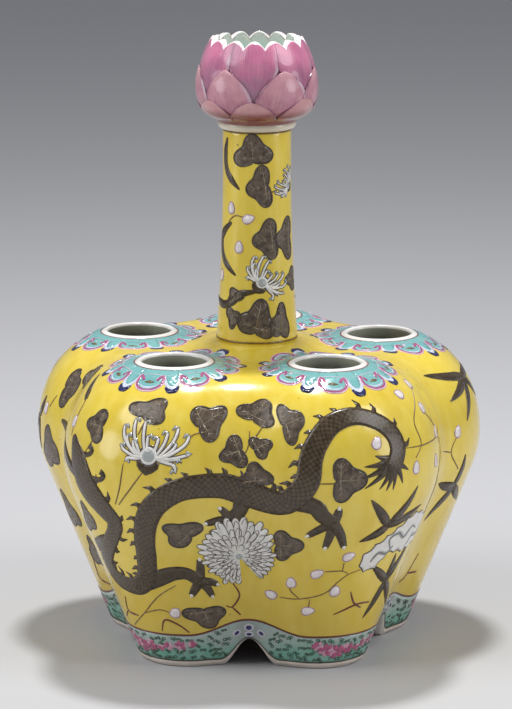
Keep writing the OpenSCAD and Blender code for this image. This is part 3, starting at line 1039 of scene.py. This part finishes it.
def paint_shaggy_flower(ground, size):
    """A full flower head of many narrow petals round an eye below its middle, open at the bottom."""
    dice = random.Random(5)
    step = SHAGGY_OPEN / SHAGGY_PETALS

    def spot(share, way):
        lift = math.sin(math.radians(way))
        return heading(size * share * (1.0 + 0.2 * lift + 0.25 * lift ** 2), way)

    outline = []
    for i in range(SHAGGY_PETALS):
        reach, way = dice.uniform(0.92, 1.08), SHAGGY_FIRST + step * (i + 0.5)
        petal = [spot(reach * share, way + step * off)
                 for share, off in ((0.97, -0.25), (1.0, 0.0), (0.97, 0.25))]
        petal = [spot(0.85, way - step / 2)] + petal + [spot(0.85, way + step / 2)]
        PETAL.patch(ground, petal + [(0, 0)])
        outline += petal
    PETAL_INK.stroke(ground, outline, [0.7, 0.7])
    for ring, count in SHAGGY_RINGS:
        half = SHAGGY_OPEN / 2 / count
        for i in range(count):
            reach = ring * dice.uniform(0.86, 1.0)
            way = SHAGGY_FIRST + half * (2 * i + 1 + dice.uniform(-0.4, 0.4))
            petal = [spot(reach * share, way + half * off) for share, off in SHAGGY_LINE]
            PETAL_LINE.stroke(ground, curve(petal, 0.7), [0.1, 0.28, 0.34, 0.24])
    PETAL_SHADE.patch(ground, [heading(size * 0.1, 20 * i) for i in range(18)])


RUFFLE_REACH = 0.6
RUFFLE_TURN = 75.0
RUFFLE_LINE = 1.1
FOLD_WIDTHS = [0.8, 2.2, 0.8]
FOLD_LINE_WIDTHS = [0.25, 0.5, 0.25]


def paint_ruffled_flower(ground, outline, folds):
    """A white flower seen from the side, with a ruffled dark outline and grey folds."""
    edge = curve(outline + outline[:1], 1.2)
    ruffled = []
    for i, (x, y) in enumerate(edge[:-1]):
        dx, dy = heading(RUFFLE_REACH, RUFFLE_TURN * i)
        ruffled.append((x + dx, y + dy))
    PETAL_INK.stroke(ground, ruffled + ruffled[:1], [RUFFLE_LINE, RUFFLE_LINE])
    RUFFLE.patch(ground, ruffled)
    for fold in folds:
        PETAL_SHADE.stroke(ground, curve(fold, 1.0), FOLD_WIDTHS)
        PETAL_LINE.stroke(ground, curve(fold, 1.0), FOLD_LINE_WIDTHS)


# The dragon: places along its back, as degrees round the vase and climbs

DRAGON_BACK = [
    (-141, 104), (-138.5, 98), (-136.2, 92), (-134, 85.5), (-130, 78.5), (-126.5, 71.5), (-127.2, 66),
    (-131, 58.5), (-134.5, 52), (-135.5, 46), (-131.5, 40.5), (-124.8, 39.5), (-120.5, 45), (-118.8, 55),
    (-118, 64), (-116.2, 73.5), (-112.5, 82.5), (-106, 89), (-97, 90), (-89, 86), (-81, 83), (-77, 86),
    (-74, 93), (-73, 102), (-71, 109), (-67, 116), (-61, 119), (-55, 116), (-51, 110), (-50, 103),
    (-52, 96)]
DRAGON_WIDTHS = [
    2.4, 11.5, 13.5, 13, 10, 7, 8, 10, 9, 8, 9, 9.5, 9.5, 9.5, 9.5, 9.5, 9.5, 10, 10.5, 11.5, 11.5, 10.5,
    10, 9.5, 9, 8.5, 8, 7.5, 7.5, 8, 8]
HOOKS = [
    [(-136.5, 98), (-132.8, 98.5), (-131.3, 100.5), (-132.6, 102.4)],
    [(-131.5, 89), (-128.2, 89.5), (-126.8, 91.5), (-128, 93)]]
HOOK_WIDTHS = [3.2, 2.2, 2, 2.6]
EAR = [(-166, 101), (-158.5, 99), (-151.5, 97), (-146.5, 94.3), (-142, 91), (-137, 88)]
EAR_WIDTHS = [1.2, 4.2, 5, 5.5, 5.5, 5, 3]
SPUR = [(-128.5, 60), (-134, 57.5), (-139.5, 54.5)]
SPUR_WIDTHS = [9, 8, 5.5]
# Legs as places along each and the tips of its toes
LEGS = [
    ([(-121, 43), (-117, 45), (-112, 48), (-108, 48), (-105, 44)],
     [(-104, 55), (-100, 42), (-108, 37), (-102, 36)]),
    ([(-89, 86), (-91, 82), (-92, 78), (-95, 74)], [(-97, 80), (-101, 73), (-98, 69)]),
    ([(-78, 85), (-72, 82), (-70, 78), (-67, 74)], [(-66, 81), (-73, 68), (-68, 62), (-63, 62)])]
LEG_WIDTHS = [9.5, 7.6, 6.4, 5.6]
TOE_WIDTHS = [5.2, 4.2, 3.6, 2.6]
TOE_BOW = (0.5, 0.7)
NAIL_PLACES = (-0.6, 0.3, 1.4)
NAIL_WIDTHS = [1.5, 1.2, 0.2]
TAIL_END = (-52, 99)
TAIL_SPIKES = [
    (-57, 102), (-60, 98), (-61, 93), (-60, 89), (-56, 88), (-54, 87), (-52, 87), (-49, 89), (-47, 94)]
SPIKE_WIDTHS = [4.2, 3.2, 1.6, 0.2]
SPIKE_BOW = (0.8, -0.4)
# Thorns start behind the head and end before the tail, counted in steps along the back
FIRST_THORN = 12
THORNLESS_END = 4
THORN_STEP = 8.5
THORN_LENGTH = 4.0
THORN_ROOT = 1.2
THORN_WIDTHS = [3.4, 1.9, 0.3]


def bowed(first, last, bow, step=1.5):
    """A path between two points whose middle is moved aside."""
    middle = [(a + b) / 2 + aside for a, b, aside in zip(first, last, bow)]
    return curve([first, middle, last], step)


def paint_dragon(shift):
    """A dragon that winds round the body, turned by some degrees from the one at the front."""
    back = curve(rolled(DRAGON_BACK, shift), 1.3)
    DRAGON.stroke(scroll, back, DRAGON_WIDTHS, 6)
    dice = random.Random(3)
    walked = 0.0
    for i in range(FIRST_THORN, len(back) - THORNLESS_END):
        walked += math.dist(back[i - 1], back[i])
        if walked < THORN_STEP:
            continue
        walked = dice.uniform(0.0, 4.0)
        (x0, y0), (x1, y1) = back[i - 1], back[i + 1]
        along = Vector((x1 - x0, y1 - y0)).normalized()
        out = Vector((-along.y, along.x))
        half = DRAGON_WIDTHS[int(i / len(back) * len(DRAGON_WIDTHS))] / 2
        root = Vector(back[i]) + out * (half - THORN_ROOT)
        length = THORN_LENGTH * dice.uniform(0.7, 1.2)
        tip = root + out * length - along * length * 0.5
        THORN.stroke(scroll, [root[:], (root + out * length * 0.6)[:], tip[:]], THORN_WIDTHS)
    for hook in HOOKS:
        THORN.stroke(scroll, curve(rolled(hook, shift), 0.8), HOOK_WIDTHS)
    for limb, widths in ((EAR, EAR_WIDTHS), (SPUR, SPUR_WIDTHS)):
        THORN.stroke(scroll, curve(rolled(limb, shift)), widths)
    for leg, toes in LEGS:
        leg = rolled(leg, shift)
        THORN.stroke(scroll, curve(leg, 1.3), LEG_WIDTHS, 3)
        for tip in rolled(toes, shift):
            toe = bowed(leg[-1], tip, TOE_BOW, 1.2)
            THORN.stroke(scroll, toe, TOE_WIDTHS)
            ahead = (Vector(toe[-1]) - Vector(toe[-2])).normalized()
            nail = [tuple(Vector(tip) + ahead * far) for far in NAIL_PLACES]
            PETAL.stroke(scroll, nail, NAIL_WIDTHS)
    tail, *spikes = rolled([TAIL_END] + TAIL_SPIKES, shift)
    for tip in spikes:
        THORN.stroke(scroll, bowed(tail, tip, SPIKE_BOW, 1.2), SPIKE_WIDTHS)


# Leaves as degrees round the vase, climb, width, height and turn of the first lobe
LEAVES = [
    (-168, 115, 13, 18, 10), (-158, 123, 13, 12, 80), (-131, 111, 11.5, 14, 180),
    (-117, 120, 16.5, 11.5, 60), (-101, 116, 15, 15, 35), (-87, 119, 15, 12, 60), (-78, 116, 11, 16.5, 20),
    (-92.7, 103.4, 11, 13, 200), (-86.2, 105.4, 9.5, 8.5, 30), (-87.2, 93, 14, 10.5, 100),
    (-65, 93, 14, 18, 0), (-107, 68, 16.5, 12.5, 145), (-79, 62.5, 12.5, 15, 5), (-105, 27, 19, 11, -85),
    (-172.5, 85, 16, 19, 100), (-176, 55, 13, 18, 95), (-138.5, 67, 12, 15, 100),
    (-172, 37, 10, 14, 90), (-195, 113, 13, 12.5, 60), (-203, 91, 13, 15, 150),
    (-196, 72, 12, 13, 20), (-204, 55, 13, 12, 100), (-194, 37, 12, 13, 60),
    (20, 72, 13, 14, 30), (30, 54, 12, 14, 130), (19, 39, 12, 12, 80)]
# Buds as degrees round the vase, climb and turn
BUDS = [
    (-176, 103, 80), (-143, 109, 70), (-82, 37, 150), (-76, 44, 100), (-69, 49, 30), (-61, 57, 20),
    (-63, 40, 90), (-70, 30, 10), (-114, 28, 60), (-56, 107, 60), (-43, 125, 150), (-34, 127, 120),
    (-35, 116, 120), (-10, 97, 60), (-44, 94, 80), (-33, 93, 90), (-30, 104, 80), (-195, 61, 70),
    (-209, 105, 110), (-196, 98, 40), (24, 58, 60), (14, 55, 120), (27, 36, 40)]
BUD_SIZE = (4.8, 3.5)
# Twigs and stems as places along them
TWIGS = [
    [(-56, 50), (-60, 48), (-63, 44), (-66, 39), (-73, 36), (-79, 36)], [(-60, 48), (-62, 50), (-67, 50)],
    [(-73, 36), (-76, 40), (-76, 43)], [(-62, 50), (-62, 54)], [(-70, 36), (-70, 32)],
    [(-112, 42), (-118, 36), (-125, 26), (-132, 18)], [(-125, 26), (-119, 29), (-116, 28)],
    [(-121, 98), (-122, 88), (-124, 80)], [(-115, 97), (-119, 88), (-123, 80)],
    [(-106, 107), (-104, 111), (-101, 112)], [(-117, 116), (-118, 110)],
    [(-134, 99), (-132, 104), (-131, 107)], [(-144, 125), (-141.5, 119), (-142.5, 109), (-142.8, 103)],
    [(-89, 112), (-89, 107), (-90, 103)], [(-85, 114), (-88, 108)],
    [(-33, 127), (-38, 119), (-42, 112), (-41, 103), (-44, 98)],
    [(-48, 103), (-40, 102), (-30, 102), (-24, 104)], [(-10, 96), (-13, 89), (-8, 80)],
    [(-18, 91), (-13, 89)], [(-25, 96), (-29, 88), (-31, 68)], [(-172, 110), (-174, 104)],
    [(-35, 114), (-31, 108), (-27, 98)], [(-71, 92), (-67, 92)], [(-102, 65), (-98, 63)],
    [(-195, 107), (-199, 101), (-203, 98)], [(-199, 101), (-206, 104)], [(-196, 66), (-195, 63)],
    [(-204, 49), (-199, 44), (-194, 43)], [(20, 65), (18, 60), (15, 56)], [(18, 60), (22, 59)],
    [(30, 47), (24, 41), (19, 45)]]
TWIG_WIDTH = 0.55
TWIG_SHARES = (0.5, 1, 1, 0.7)
RED_TWIGS = [
    [(-62, 28), (-55, 32), (-50, 32)], [(-58, 39), (-56, 33), (-53, 30)],
    [(-132, 32), (-133, 25), (-128, 24)], [(-133, 25), (-136, 21)],
    [(-98, 31), (-96, 30), (-93, 36), (-95, 42)], [(-96, 30), (-93, 26)],
    [(-120, 18), (-118, 24), (-114, 22), (-111, 18)], [(-176, 34), (-178, 24), (-172, 23)],
    [(-8, 40), (-10, 30), (-14, 28)], [(-10, 31), (-4, 30)]]
RED_TWIG_WIDTH = 0.9
# Bamboo sprays as the knot and the tips of the blades
SPRAYS = [
    [(-51, 70), (-58, 84), (-43, 86), (-39, 76), (-59, 64)],
    [(-45, 41), (-53, 51), (-44, 54), (-51, 24), (-38, 26), (-38, 57)],
    [(3, 118), (-15, 124), (-10, 110), (-5, 100), (9, 106), (13, 121)],
    [(-6, 71), (-16, 76), (-6, 86), (-15, 58), (2, 62)],
    [(-181, 98), (-178, 108), (-180, 84), (-187, 92)], [(-141.5, 119), (-147, 130)]]
BLADE_WIDTHS = [2.4, 4.4, 4.0, 2.4, 0.2]
BLADE_BOW = (0.5, -0.5)
# The ruffled flower's outline and folds as degrees round the vase and climbs
RUFFLED = [
    (-56, 49), (-57, 55), (-54, 60), (-50, 64), (-46, 68), (-41, 72), (-36, 71), (-31, 66), (-32, 58),
    (-41, 55), (-48, 56), (-52, 50)]
RUFFLED_FOLDS = [
    [(-48, 58), (-49, 63), (-46, 65), (-43, 62), (-40, 66), (-37, 64)],
    [(-54, 53), (-52, 57), (-49, 56), (-47, 59)], [(-40, 57), (-38, 61), (-35, 60), (-33, 63)]]
# The other two flowers as degrees round the vase and climb
CURLED_PLACE = (-114.5, 102)
CURLED_SIZE = 17.0
SHAGGY_PLACE = (-92.5, 55.8)
SHAGGY_SIZE = 13.9
BACK_TURN = 180.0
# Ranges of degrees whose sprigs are painted at the front, and again at the back
FRONT_RANGE = (-215, 35)
BACK_RANGE = (-165, -12)


def paint_sprigs(ground_at, leaves, buds, bud_size, shift):
    """Leaves and buds at their places on the body or the neck, turned by some degrees."""
    for angle, up, width, height, turn in leaves:
        paint_leaf(ground_at(angle + shift, up), width, height, turn)
    for angle, up, turn in buds:
        paint_bud(ground_at(angle + shift, up), *bud_size, turn)


def paint_body(shift, low, high):
    """The flowers and the dragon, turned by some degrees, with sprigs outside a range left out."""

    def seen(sprigs):
        return [sprig for sprig in sprigs if low <= sprig[0] <= high]

    paint_dragon(shift)
    paint_sprigs(body_at, seen(LEAVES), seen(BUDS), BUD_SIZE, shift)
    for enamel, twigs, width in ((INK, TWIGS, TWIG_WIDTH), (RED_INK, RED_TWIGS, RED_TWIG_WIDTH)):
        for twig in twigs:
            if low <= twig[0][0] <= high:
                widths = [width * share for share in TWIG_SHARES]
                enamel.stroke(scroll, curve(rolled(twig, shift)), widths)
    for spray in SPRAYS:
        if low <= spray[0][0] <= high:
            knot, *tips = rolled(spray, shift)
            for tip in tips:
                BLADE.stroke(scroll, bowed(knot, tip, BLADE_BOW), BLADE_WIDTHS)
    paint_curled_flower(body_at(CURLED_PLACE[0] + shift, CURLED_PLACE[1]), CURLED_SIZE)
    paint_shaggy_flower(body_at(SHAGGY_PLACE[0] + shift, SHAGGY_PLACE[1]), SHAGGY_SIZE)
    folds = [rolled(fold, shift) for fold in RUFFLED_FOLDS]
    paint_ruffled_flower(scroll, rolled(RUFFLED, shift), folds)


paint_body(0.0, *FRONT_RANGE)
paint_body(BACK_TURN, *BACK_RANGE)

# The neck: leaves and flowers as degrees round it and heights
NECK_LEAVES = [
    (-94, 206.8, 17, 13.5, 95), (-78, 193.5, 11, 17.5, 190), (-67, 171.5, 11, 17, 185),
    (-30, 171, 10, 18, 180), (-122, 146.8, 8, 7.5, 120), (-125, 139, 7.5, 9, 260),
    (-87, 136.4, 16, 16.5, 75), (-50, 135, 10, 15, 80), (-18, 153.5, 8, 10, 180)]
NECK_BUDS = [(-134, 184, 90), (-101, 180, 20), (-117, 168, 85), (-158, 155, 80)]
NECK_BUD_SIZE = (4.6, 3.1)
NECK_TWIGS = [
    [(-140, 178), (-125, 181), (-108, 180.5)], [(-84, 203), (-80, 200)], [(-72, 190), (-50, 192)]]
NECK_TWIG_WIDTHS = [0.4, 0.6, 0.4]
NECK_BLADES = [
    [(-145, 213), (-152, 206), (-146, 199), (-117, 192)],
    [(-133, 178), (-161, 171), (-154, 163), (-122, 156)],
    [(-176, 145), (-147, 143), (-127, 145), (-112, 148.5), (-84, 150)]]
NECK_BLADE_WIDTHS = [1.0, 3.6, 3.4, 3.2, 0.6]
# Curled flowers as degrees, height, size and turn
NECK_FLOWERS = [(-79, 153.5, 11.5, -32.0), (-25, 193, 8.0, 60.0)]
NECK_RINGS = [NECK_Z + 0.7, COLLAR_Z - 0.4]
RING_WIDTH = 0.7
RING_STEPS = 61


def paint_neck(shift):
    """Half of the neck's painting, turned by some degrees."""
    paint_sprigs(neck_at, NECK_LEAVES, NECK_BUDS, NECK_BUD_SIZE, shift)
    for z in NECK_RINGS:
        half_ring = rolled([(turn, z) for turn in spread(0, 180, RING_STEPS)], shift, NECK_SCROLL)
        INK.stroke(neck_scroll, half_ring, [RING_WIDTH, RING_WIDTH])
    for twig in NECK_TWIGS:
        INK.stroke(neck_scroll, curve(rolled(twig, shift, NECK_SCROLL), 1.0), NECK_TWIG_WIDTHS)
    for blade in NECK_BLADES:
        BLADE.stroke(neck_scroll, curve(rolled(blade, shift, NECK_SCROLL), 1.0), NECK_BLADE_WIDTHS)
    for angle, z, size, turn in NECK_FLOWERS:
        paint_curled_flower(neck_at(angle + shift, z), size, turn)


paint_neck(0.0)
paint_neck(BACK_TURN)


# The foot: a white rim, a turquoise band that rises over the arches, and its lines, curls and flowers

BAND_LOW = 3.5
BAND_TOP = 15.0
BAND_RISE = 6.5
BAND_HALF_W = 17.0
BAND_R = 45.0
ARCH_R = 42.0
SHEET_LIFT = 0.08
LINE_LIFT = 0.16
TOP_LINE_WIDTH = 0.8
LOW_LINE_WIDTH = 0.5


def band_low(angle):
    """Climb of the band's lower edge, which follows the arches."""
    arch = arch_z(angle)
    return climb_at(arch) + BAND_LOW * (1 - 0.7 * arch / ARCH_H)


def band_top(angle):
    """Climb of the band's upper edge, which rises over the arches."""
    across = BAND_R * math.radians(LOBE_TURN / 2 - abs(off_lobe(angle)))
    return climb_at(BAND_TOP + BAND_RISE * fade(across / BAND_HALF_W))


def ring_sheet(name, low, high, rows, material, lift):
    """A strip round the whole body between two climbs that change with the angle."""
    bm = unit_tube(ROUND_STEPS, rows)
    bend_tube(bm, lambda angle, row: lifted(
        on_body, angle, low(angle) + (high(angle) - low(angle)) * row / rows, lift))
    turn_outwards(bm)
    finish_piece(bm, name, [material], thickness=lift + BEDDED)


def band_ground_enamel():
    """Turquoise green ground with paler washes and a grey one over each arch."""
    finish = Finish("band_ground")
    cloud = (finish.noise(9.0, 3.0) * 2.2 - 0.6).clamped()
    fine = finish.noise(1.6, 3.0)
    x, y, z = finish.split(finish.place)
    height = z + (finish.noise(14.0, 2.0) - 0.5) * 18 * MM
    # 1 at the middle of each lobe and -1 at each crease
    lobes = x.maths("COSINE", (y.maths("ARCTAN2", y, x) - math.radians(FIRST_LOBE)) * float(LOBES))
    tone = finish.wash(
        (102, 168, 146),
        (cloud, (140, 188, 172)),
        (height.between(6 * MM, 14 * MM) * 0.75, (178, 184, 182)),
        (lobes.between(-0.84, -0.98) * 0.8, (148, 156, 152)),
        (fine.between(0.6, 0.75) * 0.5, (76, 140, 118)))
    return finish.fired(tone, fine * 0.1 + 0.14, fine, 0.06, 0.3)


ring_sheet("foot_band", band_low, band_top, 8, band_ground_enamel(), SHEET_LIFT)
ring_sheet("foot_rim", lambda angle: climb_at(arch_z(angle) + FOOT_EDGE), band_low, 2,
           glaze("foot_white", (238, 228, 216), (212, 194, 180), 5.0, 0.2), SHEET_LIFT)
ring_sheet("band_top_line", band_top, lambda angle: band_top(angle) + TOP_LINE_WIDTH, 1,
           RED_INK.material, LINE_LIFT)
ring_sheet("band_low_line", lambda angle: band_low(angle) - LOW_LINE_WIDTH, band_low, 1,
           THORN.material, LINE_LIFT)

CURL = Enamel("band_curls", brown_enamel("curl_ink", (74, 78, 70), (42, 44, 40)), 0.15)
LEAFLET = Enamel("band_leaves", glaze("leaf_green", (84, 152, 118), (58, 122, 92), 2.5), 0.12)
SPRAY = Enamel("band_flowers", glaze("magenta_enamel", (196, 104, 142), (158, 70, 108), 2.5), 0.18)
SPRAY_PALE = Enamel("pale_flowers", glaze("rose_enamel", (222, 172, 190), (196, 138, 164), 2.5), 0.17)
DOT = Enamel("arch_dots", glaze("dark_blue", (46, 50, 124), (26, 28, 70), 3.0), 0.2)
DOT_RING = Enamel("arch_rings", glaze("pale_lilac", (216, 212, 216), (190, 184, 198), 3.0), 0.13)


CURL_STEPS = 10
CURL_SHRINK = 0.075
CURL_TURN = 40
CURL_WIDTHS = [0.2, 0.35, 0.35, 0.2]
LEAFLET_HALF = 1.4
LEAFLET_WIDTHS = [0.3, 1.2, 0.3]


def s_curl(size, way):
    """A small curl that rolls up at both ends."""
    x0, y0 = heading(size, way)
    half = []
    for i in range(1, CURL_STEPS + 1):
        x, y = heading(size * (1 - CURL_SHRINK * i), way + CURL_TURN * i)
        half.append((x - x0, y - y0))
    return [(-x, -y) for x, y in reversed(half)] + [(0.0, 0.0)] + half


# Flower heads of one foot as degrees from its middle, share of the band's height and size
BAND_FLOWERS = [
    (-11, 0.66, 2.3), (-8, 0.5, 3.0), (-4, 0.42, 3.2), (0, 0.5, 2.7), (4, 0.46, 1.7), (7, 0.56, 2.0),
    (11, 0.6, 2.3), (15, 0.66, 1.7)]
FLOWER_PETALS = 7
# Rows of curls as shares of the band's height, and the curls of one row as degrees from the foot's middle
CURL_ROWS = (0.14, 0.34, 0.58, 0.82)
CURL_PLACES = spread(-26, 26, 19)
# Dots over one arch as millimetres from its middle, climb over its crown, length, width and turn
ARCH_DOTS = [
    (0, 6.0, 2.5, 2.3, 0), (-3.6, 3.2, 2.6, 1.4, 50), (3.6, 3.2, 2.6, 1.4, 130), (0, 2.6, 2.2, 1.4, 0)]
DOT_STEPS = 14
DOT_GRAIN = 1.2
DOT_HALO = 1.6


def paint_foot():
    """The curls, leaves and flowers of the band and the dots over the arches."""
    dice = random.Random(11)

    def band_spot(angle, share):
        low, high = band_low(angle), band_top(angle)
        return body_at(angle, low + (high - low) * share)

    for lobe in range(LOBES):
        middle = FIRST_LOBE + LOBE_TURN * lobe
        for share in CURL_ROWS:
            for off in CURL_PLACES:
                spot = band_spot(middle + off + dice.uniform(-1.2, 1.2), share + dice.uniform(-0.06, 0.06))
                curl = s_curl(dice.uniform(0.6, 1.0), dice.uniform(-50, 50))
                CURL.stroke(spot, curl, CURL_WIDTHS)
                x, y = heading(LEAFLET_HALF, dice.uniform(0, 360))
                LEAFLET.stroke(spot, curve([(-x, -y), (0.2, 0.2), (x, y)], 0.8), LEAFLET_WIDTHS)
        for k, (off, share, size) in enumerate(BAND_FLOWERS):
            spot = band_spot(middle + off, share)
            for petal in range(FLOWER_PETALS):
                way = 360 / FLOWER_PETALS * petal + dice.uniform(-14, 14)
                x, y = heading(size * 0.6, way)
                enamel = SPRAY_PALE if (petal + k) % 5 < 2 else SPRAY
                enamel.patch(spot, [(x + u, y + v) for u, v in oval(size * 1.1, size * 0.7, way, 10)])
        crease = middle + LOBE_TURN / 2
        for across, rise, length, width, turn in ARCH_DOTS:
            spot = body_at(crease + math.degrees(across / ARCH_R), climb_at(ARCH_H) + rise)
            for enamel, grow in ((DOT_RING, DOT_HALO), (DOT, 0.0)):
                enamel.patch(spot, oval(length + grow, width + grow, turn, DOT_STEPS), DOT_GRAIN)


paint_foot()


# The mouths: turquoise collars cut in lappets, big ones edged in pink and small ones in dark blue

LAPPETS = 8
FIRST_LAPPET = 16.0
COLLAR_IN = LIP_R - 0.8
COLLAR_OUT = 22.5
LAPPET_ROOT = COLLAR_OUT - 1.5
LAPPET_STEPS = 16
# The curl at each end of a big lappet's outline as steps out from the collar and degrees in from its side
LAPPET_CURL = [(1.0, 8.5), (-0.6, 6.0), (-1.3, 3.0)]
BIG_REACH = 28.0
BIG_HALF = 15.8
SMALL_REACH = 28.8
SMALL_HALF = 9.6
SMALL_SHAPE = 0.9
# The parts of a lappet's outline that get the dark blue tip and the white line
BLUE_PART = slice(3, 14)
WHITE_PART = slice(2, 15)
BLUE_WIDTHS = [0.9, 2.0, 1.6, 2.0, 0.9]
WHITE_WIDTHS = [0.2, 0.7, 0.7, 0.2]
PINK_WIDTHS = [1.2, 1.0, 0.75, 0.65, 0.75, 1.0, 1.2]
# The eye of a big lappet as steps out from the collar and degrees from its middle
EYE_PLACES = [(1.7, -5), (1.5, 0), (1.7, 5)]
EYE_WIDTHS = [0.4, 1.5, 0.4]
RIM_LINE_WIDTH = 0.6
MOUTH_ENAMEL = Enamel("mouth_collars", TURQUOISE, 0.10)
LAPPET_WHITE = Enamel("lappet_whites", glaze("bluish_white", (226, 232, 244), (196, 206, 228), 3.0), 0.12)
LAPPET_EDGE = Enamel("lappet_edges", glaze("pale_pink", (238, 204, 220), (222, 176, 202), 3.0), 0.14)
LAPPET_FIELD = Enamel("lappet_fields", TURQUOISE, 0.16)
LAPPET_WHITE_LINE = Enamel("lappet_lines", LAPPET_WHITE.material, 0.19)
LAPPET_PINK = Enamel("lappet_outlines", glaze("pink_enamel", (194, 102, 150), (152, 62, 110), 3.0), 0.20)
LAPPET_BLUE = Enamel("lappet_tips", glaze("blue_enamel", (46, 50, 112), (24, 26, 62), 3.0), 0.18)
LAPPET_EYE = Enamel("lappet_eyes", brown_enamel("olive_enamel", (124, 114, 78), (96, 84, 56)), 0.20)
RIM_LINE = Enamel("mouth_lines", glaze("rim_red", (150, 84, 80), (112, 62, 60), 3.0), 0.16)


def mouth_ground(lobe):
    """The shoulder round one mouth, as a flat drawing whose x points away from the vase's axis."""
    angle = FIRST_LOBE + LOBE_TURN * lobe
    centre = polar(MOUTH_AXIS_R, angle, 0)
    ahead = polar(1, angle, 0)

    def lay(x, y):
        return on_shoulder(centre.x + ahead.x * x - ahead.y * y, centre.y + ahead.y * x + ahead.x * y)

    return lay


def lappet(way, reach, half, shape=0.5):
    """Outline of one lappet from its root on one side round its tip to the other."""
    points = []
    for t in spread(-1, 1, LAPPET_STEPS + 1):
        out = LAPPET_ROOT + (reach - LAPPET_ROOT) * (1 - abs(t) ** 2.6) ** shape
        points.append(heading(out, way + half * t * (1.0 - 0.12 * (1 - abs(t)))))
    return points


def paint_mouths():
    """The collars round the five mouths with their lappets and lines."""
    step = 360.0 / LAPPETS
    for lobe in range(LOBES):
        ground = mouth_ground(lobe)
        for k in range(2 * LAPPETS):
            low, high = step / 2 * k, step / 2 * (k + 1)
            ring = [heading(COLLAR_IN, a) for a in spread(low, high, 6)]
            ring += [heading(COLLAR_OUT, a) for a in spread(high, low, 6)]
            MOUTH_ENAMEL.patch(ground, ring)
        for k in range(LAPPETS):
            way = FIRST_LAPPET + step * k
            small = lappet(way + step / 2, SMALL_REACH, SMALL_HALF, SMALL_SHAPE)
            LAPPET_WHITE.patch(ground, small)
            LAPPET_BLUE.stroke(ground, small[BLUE_PART], BLUE_WIDTHS)
            inner = lappet(way + step / 2, SMALL_REACH - 2.6, SMALL_HALF - 2.6, SMALL_SHAPE)
            LAPPET_FIELD.patch(ground, inner)
            LAPPET_EDGE.patch(ground, lappet(way, BIG_REACH + 0.5, BIG_HALF + 1.2))
            LAPPET_FIELD.patch(ground, lappet(way, BIG_REACH - 0.4, BIG_HALF - 1.0))
            outline = lappet(way, BIG_REACH - 0.4, BIG_HALF - 0.8)[1:-1]
            left, right = [
                [heading(COLLAR_OUT + out, way + side * (BIG_HALF - back)) for out, back in LAPPET_CURL]
                for side in (-1, 1)]
            LAPPET_PINK.stroke(ground, curve(left + outline + right[::-1], 0.9), PINK_WIDTHS)
            white_line = lappet(way, BIG_REACH - 1.4, BIG_HALF - 3.4)[WHITE_PART]
            LAPPET_WHITE_LINE.stroke(ground, white_line, WHITE_WIDTHS)
            eye = [heading(COLLAR_OUT + out, way + off) for out, off in EYE_PLACES]
            LAPPET_EYE.stroke(ground, curve(eye, 0.8), EYE_WIDTHS)
        circle = [heading(LIP_R - FIT, turn) for turn in spread(0, 360, RING_STEPS)]
        RIM_LINE.stroke(ground, circle, [RIM_LINE_WIDTH, RIM_LINE_WIDTH])


paint_mouths()

for enamel in ENAMELS:
    enamel.fire()


# The stage: floor, light and the photograph's camera

FLOOR_HALF = 3.0


def build_stage():
    bm = bmesh.new()
    bmesh.ops.create_grid(bm, x_segments=1, y_segments=1, size=FLOOR_HALF)
    mesh = bpy.data.meshes.new("floor")
    bm.to_mesh(mesh)
    bm.free()
    floor = bpy.data.objects.new("floor", mesh)
    finish = Finish("pale_floor")
    finish.set(Base_Color=srgb(196, 196, 198), Roughness=0.6)
    mesh.materials.append(finish.material)
    bpy.context.scene.collection.objects.link(floor)


def area_light(name, place, aim, size, power):
    light = bpy.data.lights.new(name, "AREA")
    light.shape = "ELLIPSE"
    light.size, light.size_y = size
    light.energy = power
    lamp = bpy.data.objects.new(name, light)
    lamp.location = place
    lamp.rotation_euler = (Vector(aim) - Vector(place)).to_track_quat("-Z", "Y").to_euler()
    bpy.context.scene.collection.objects.link(lamp)


def build_light():
    world = bpy.data.worlds.new("studio")
    world.use_nodes = True
    sky = world.node_tree.nodes["Background"].inputs
    sky["Color"].default_value = (0.9, 0.92, 1.0, 1)
    sky["Strength"].default_value = 0.25
    bpy.context.scene.world = world
    middle, high = (0, 0, 0.12), (0, 0, 0.2)
    area_light("overhead", (0.0, 0.2, 1.1), middle, (0.14, 0.14), 8.5)
    area_light("left", (-0.95, -0.55, 1.2), middle, (1.0, 1.0), 9)
    area_light("right", (1.1, -0.4, 1.1), middle, (0.8, 0.8), 7)
    area_light("left_strip", (-1.25, -0.4, 0.3), high, (0.6, 0.5), 2.4)
    area_light("right_strip", (1.25, -0.35, 0.3), high, (0.6, 0.5), 2.4)


CAMERA_DISTANCE = 1.6
CAMERA_AZIMUTH = 3.2
CAMERA_ELEVATION = 12.0
CAMERA_CENTRE_Z = 0.127
CAMERA_AIM = (-0.0004, 0, 0.1198)
CAMERA_LENS = 193.9


def build_camera():
    camera = bpy.data.cameras.new("camera")
    camera.lens = CAMERA_LENS
    camera.sensor_width = 36.0
    holder = bpy.data.objects.new("camera", camera)
    turn, rise = math.radians(CAMERA_AZIMUTH), math.radians(CAMERA_ELEVATION)
    place = Vector((math.sin(turn) * math.cos(rise), -math.cos(turn) * math.cos(rise), math.sin(rise)))
    holder.location = place * CAMERA_DISTANCE + Vector((0, 0, CAMERA_CENTRE_Z))
    holder.rotation_euler = (Vector(CAMERA_AIM) - holder.location).to_track_quat("-Z", "Y").to_euler()
    bpy.context.scene.collection.objects.link(holder)
    bpy.context.scene.camera = holder
    bpy.context.scene.view_settings.view_transform = "Standard"


build_stage()
build_light()
build_camera()
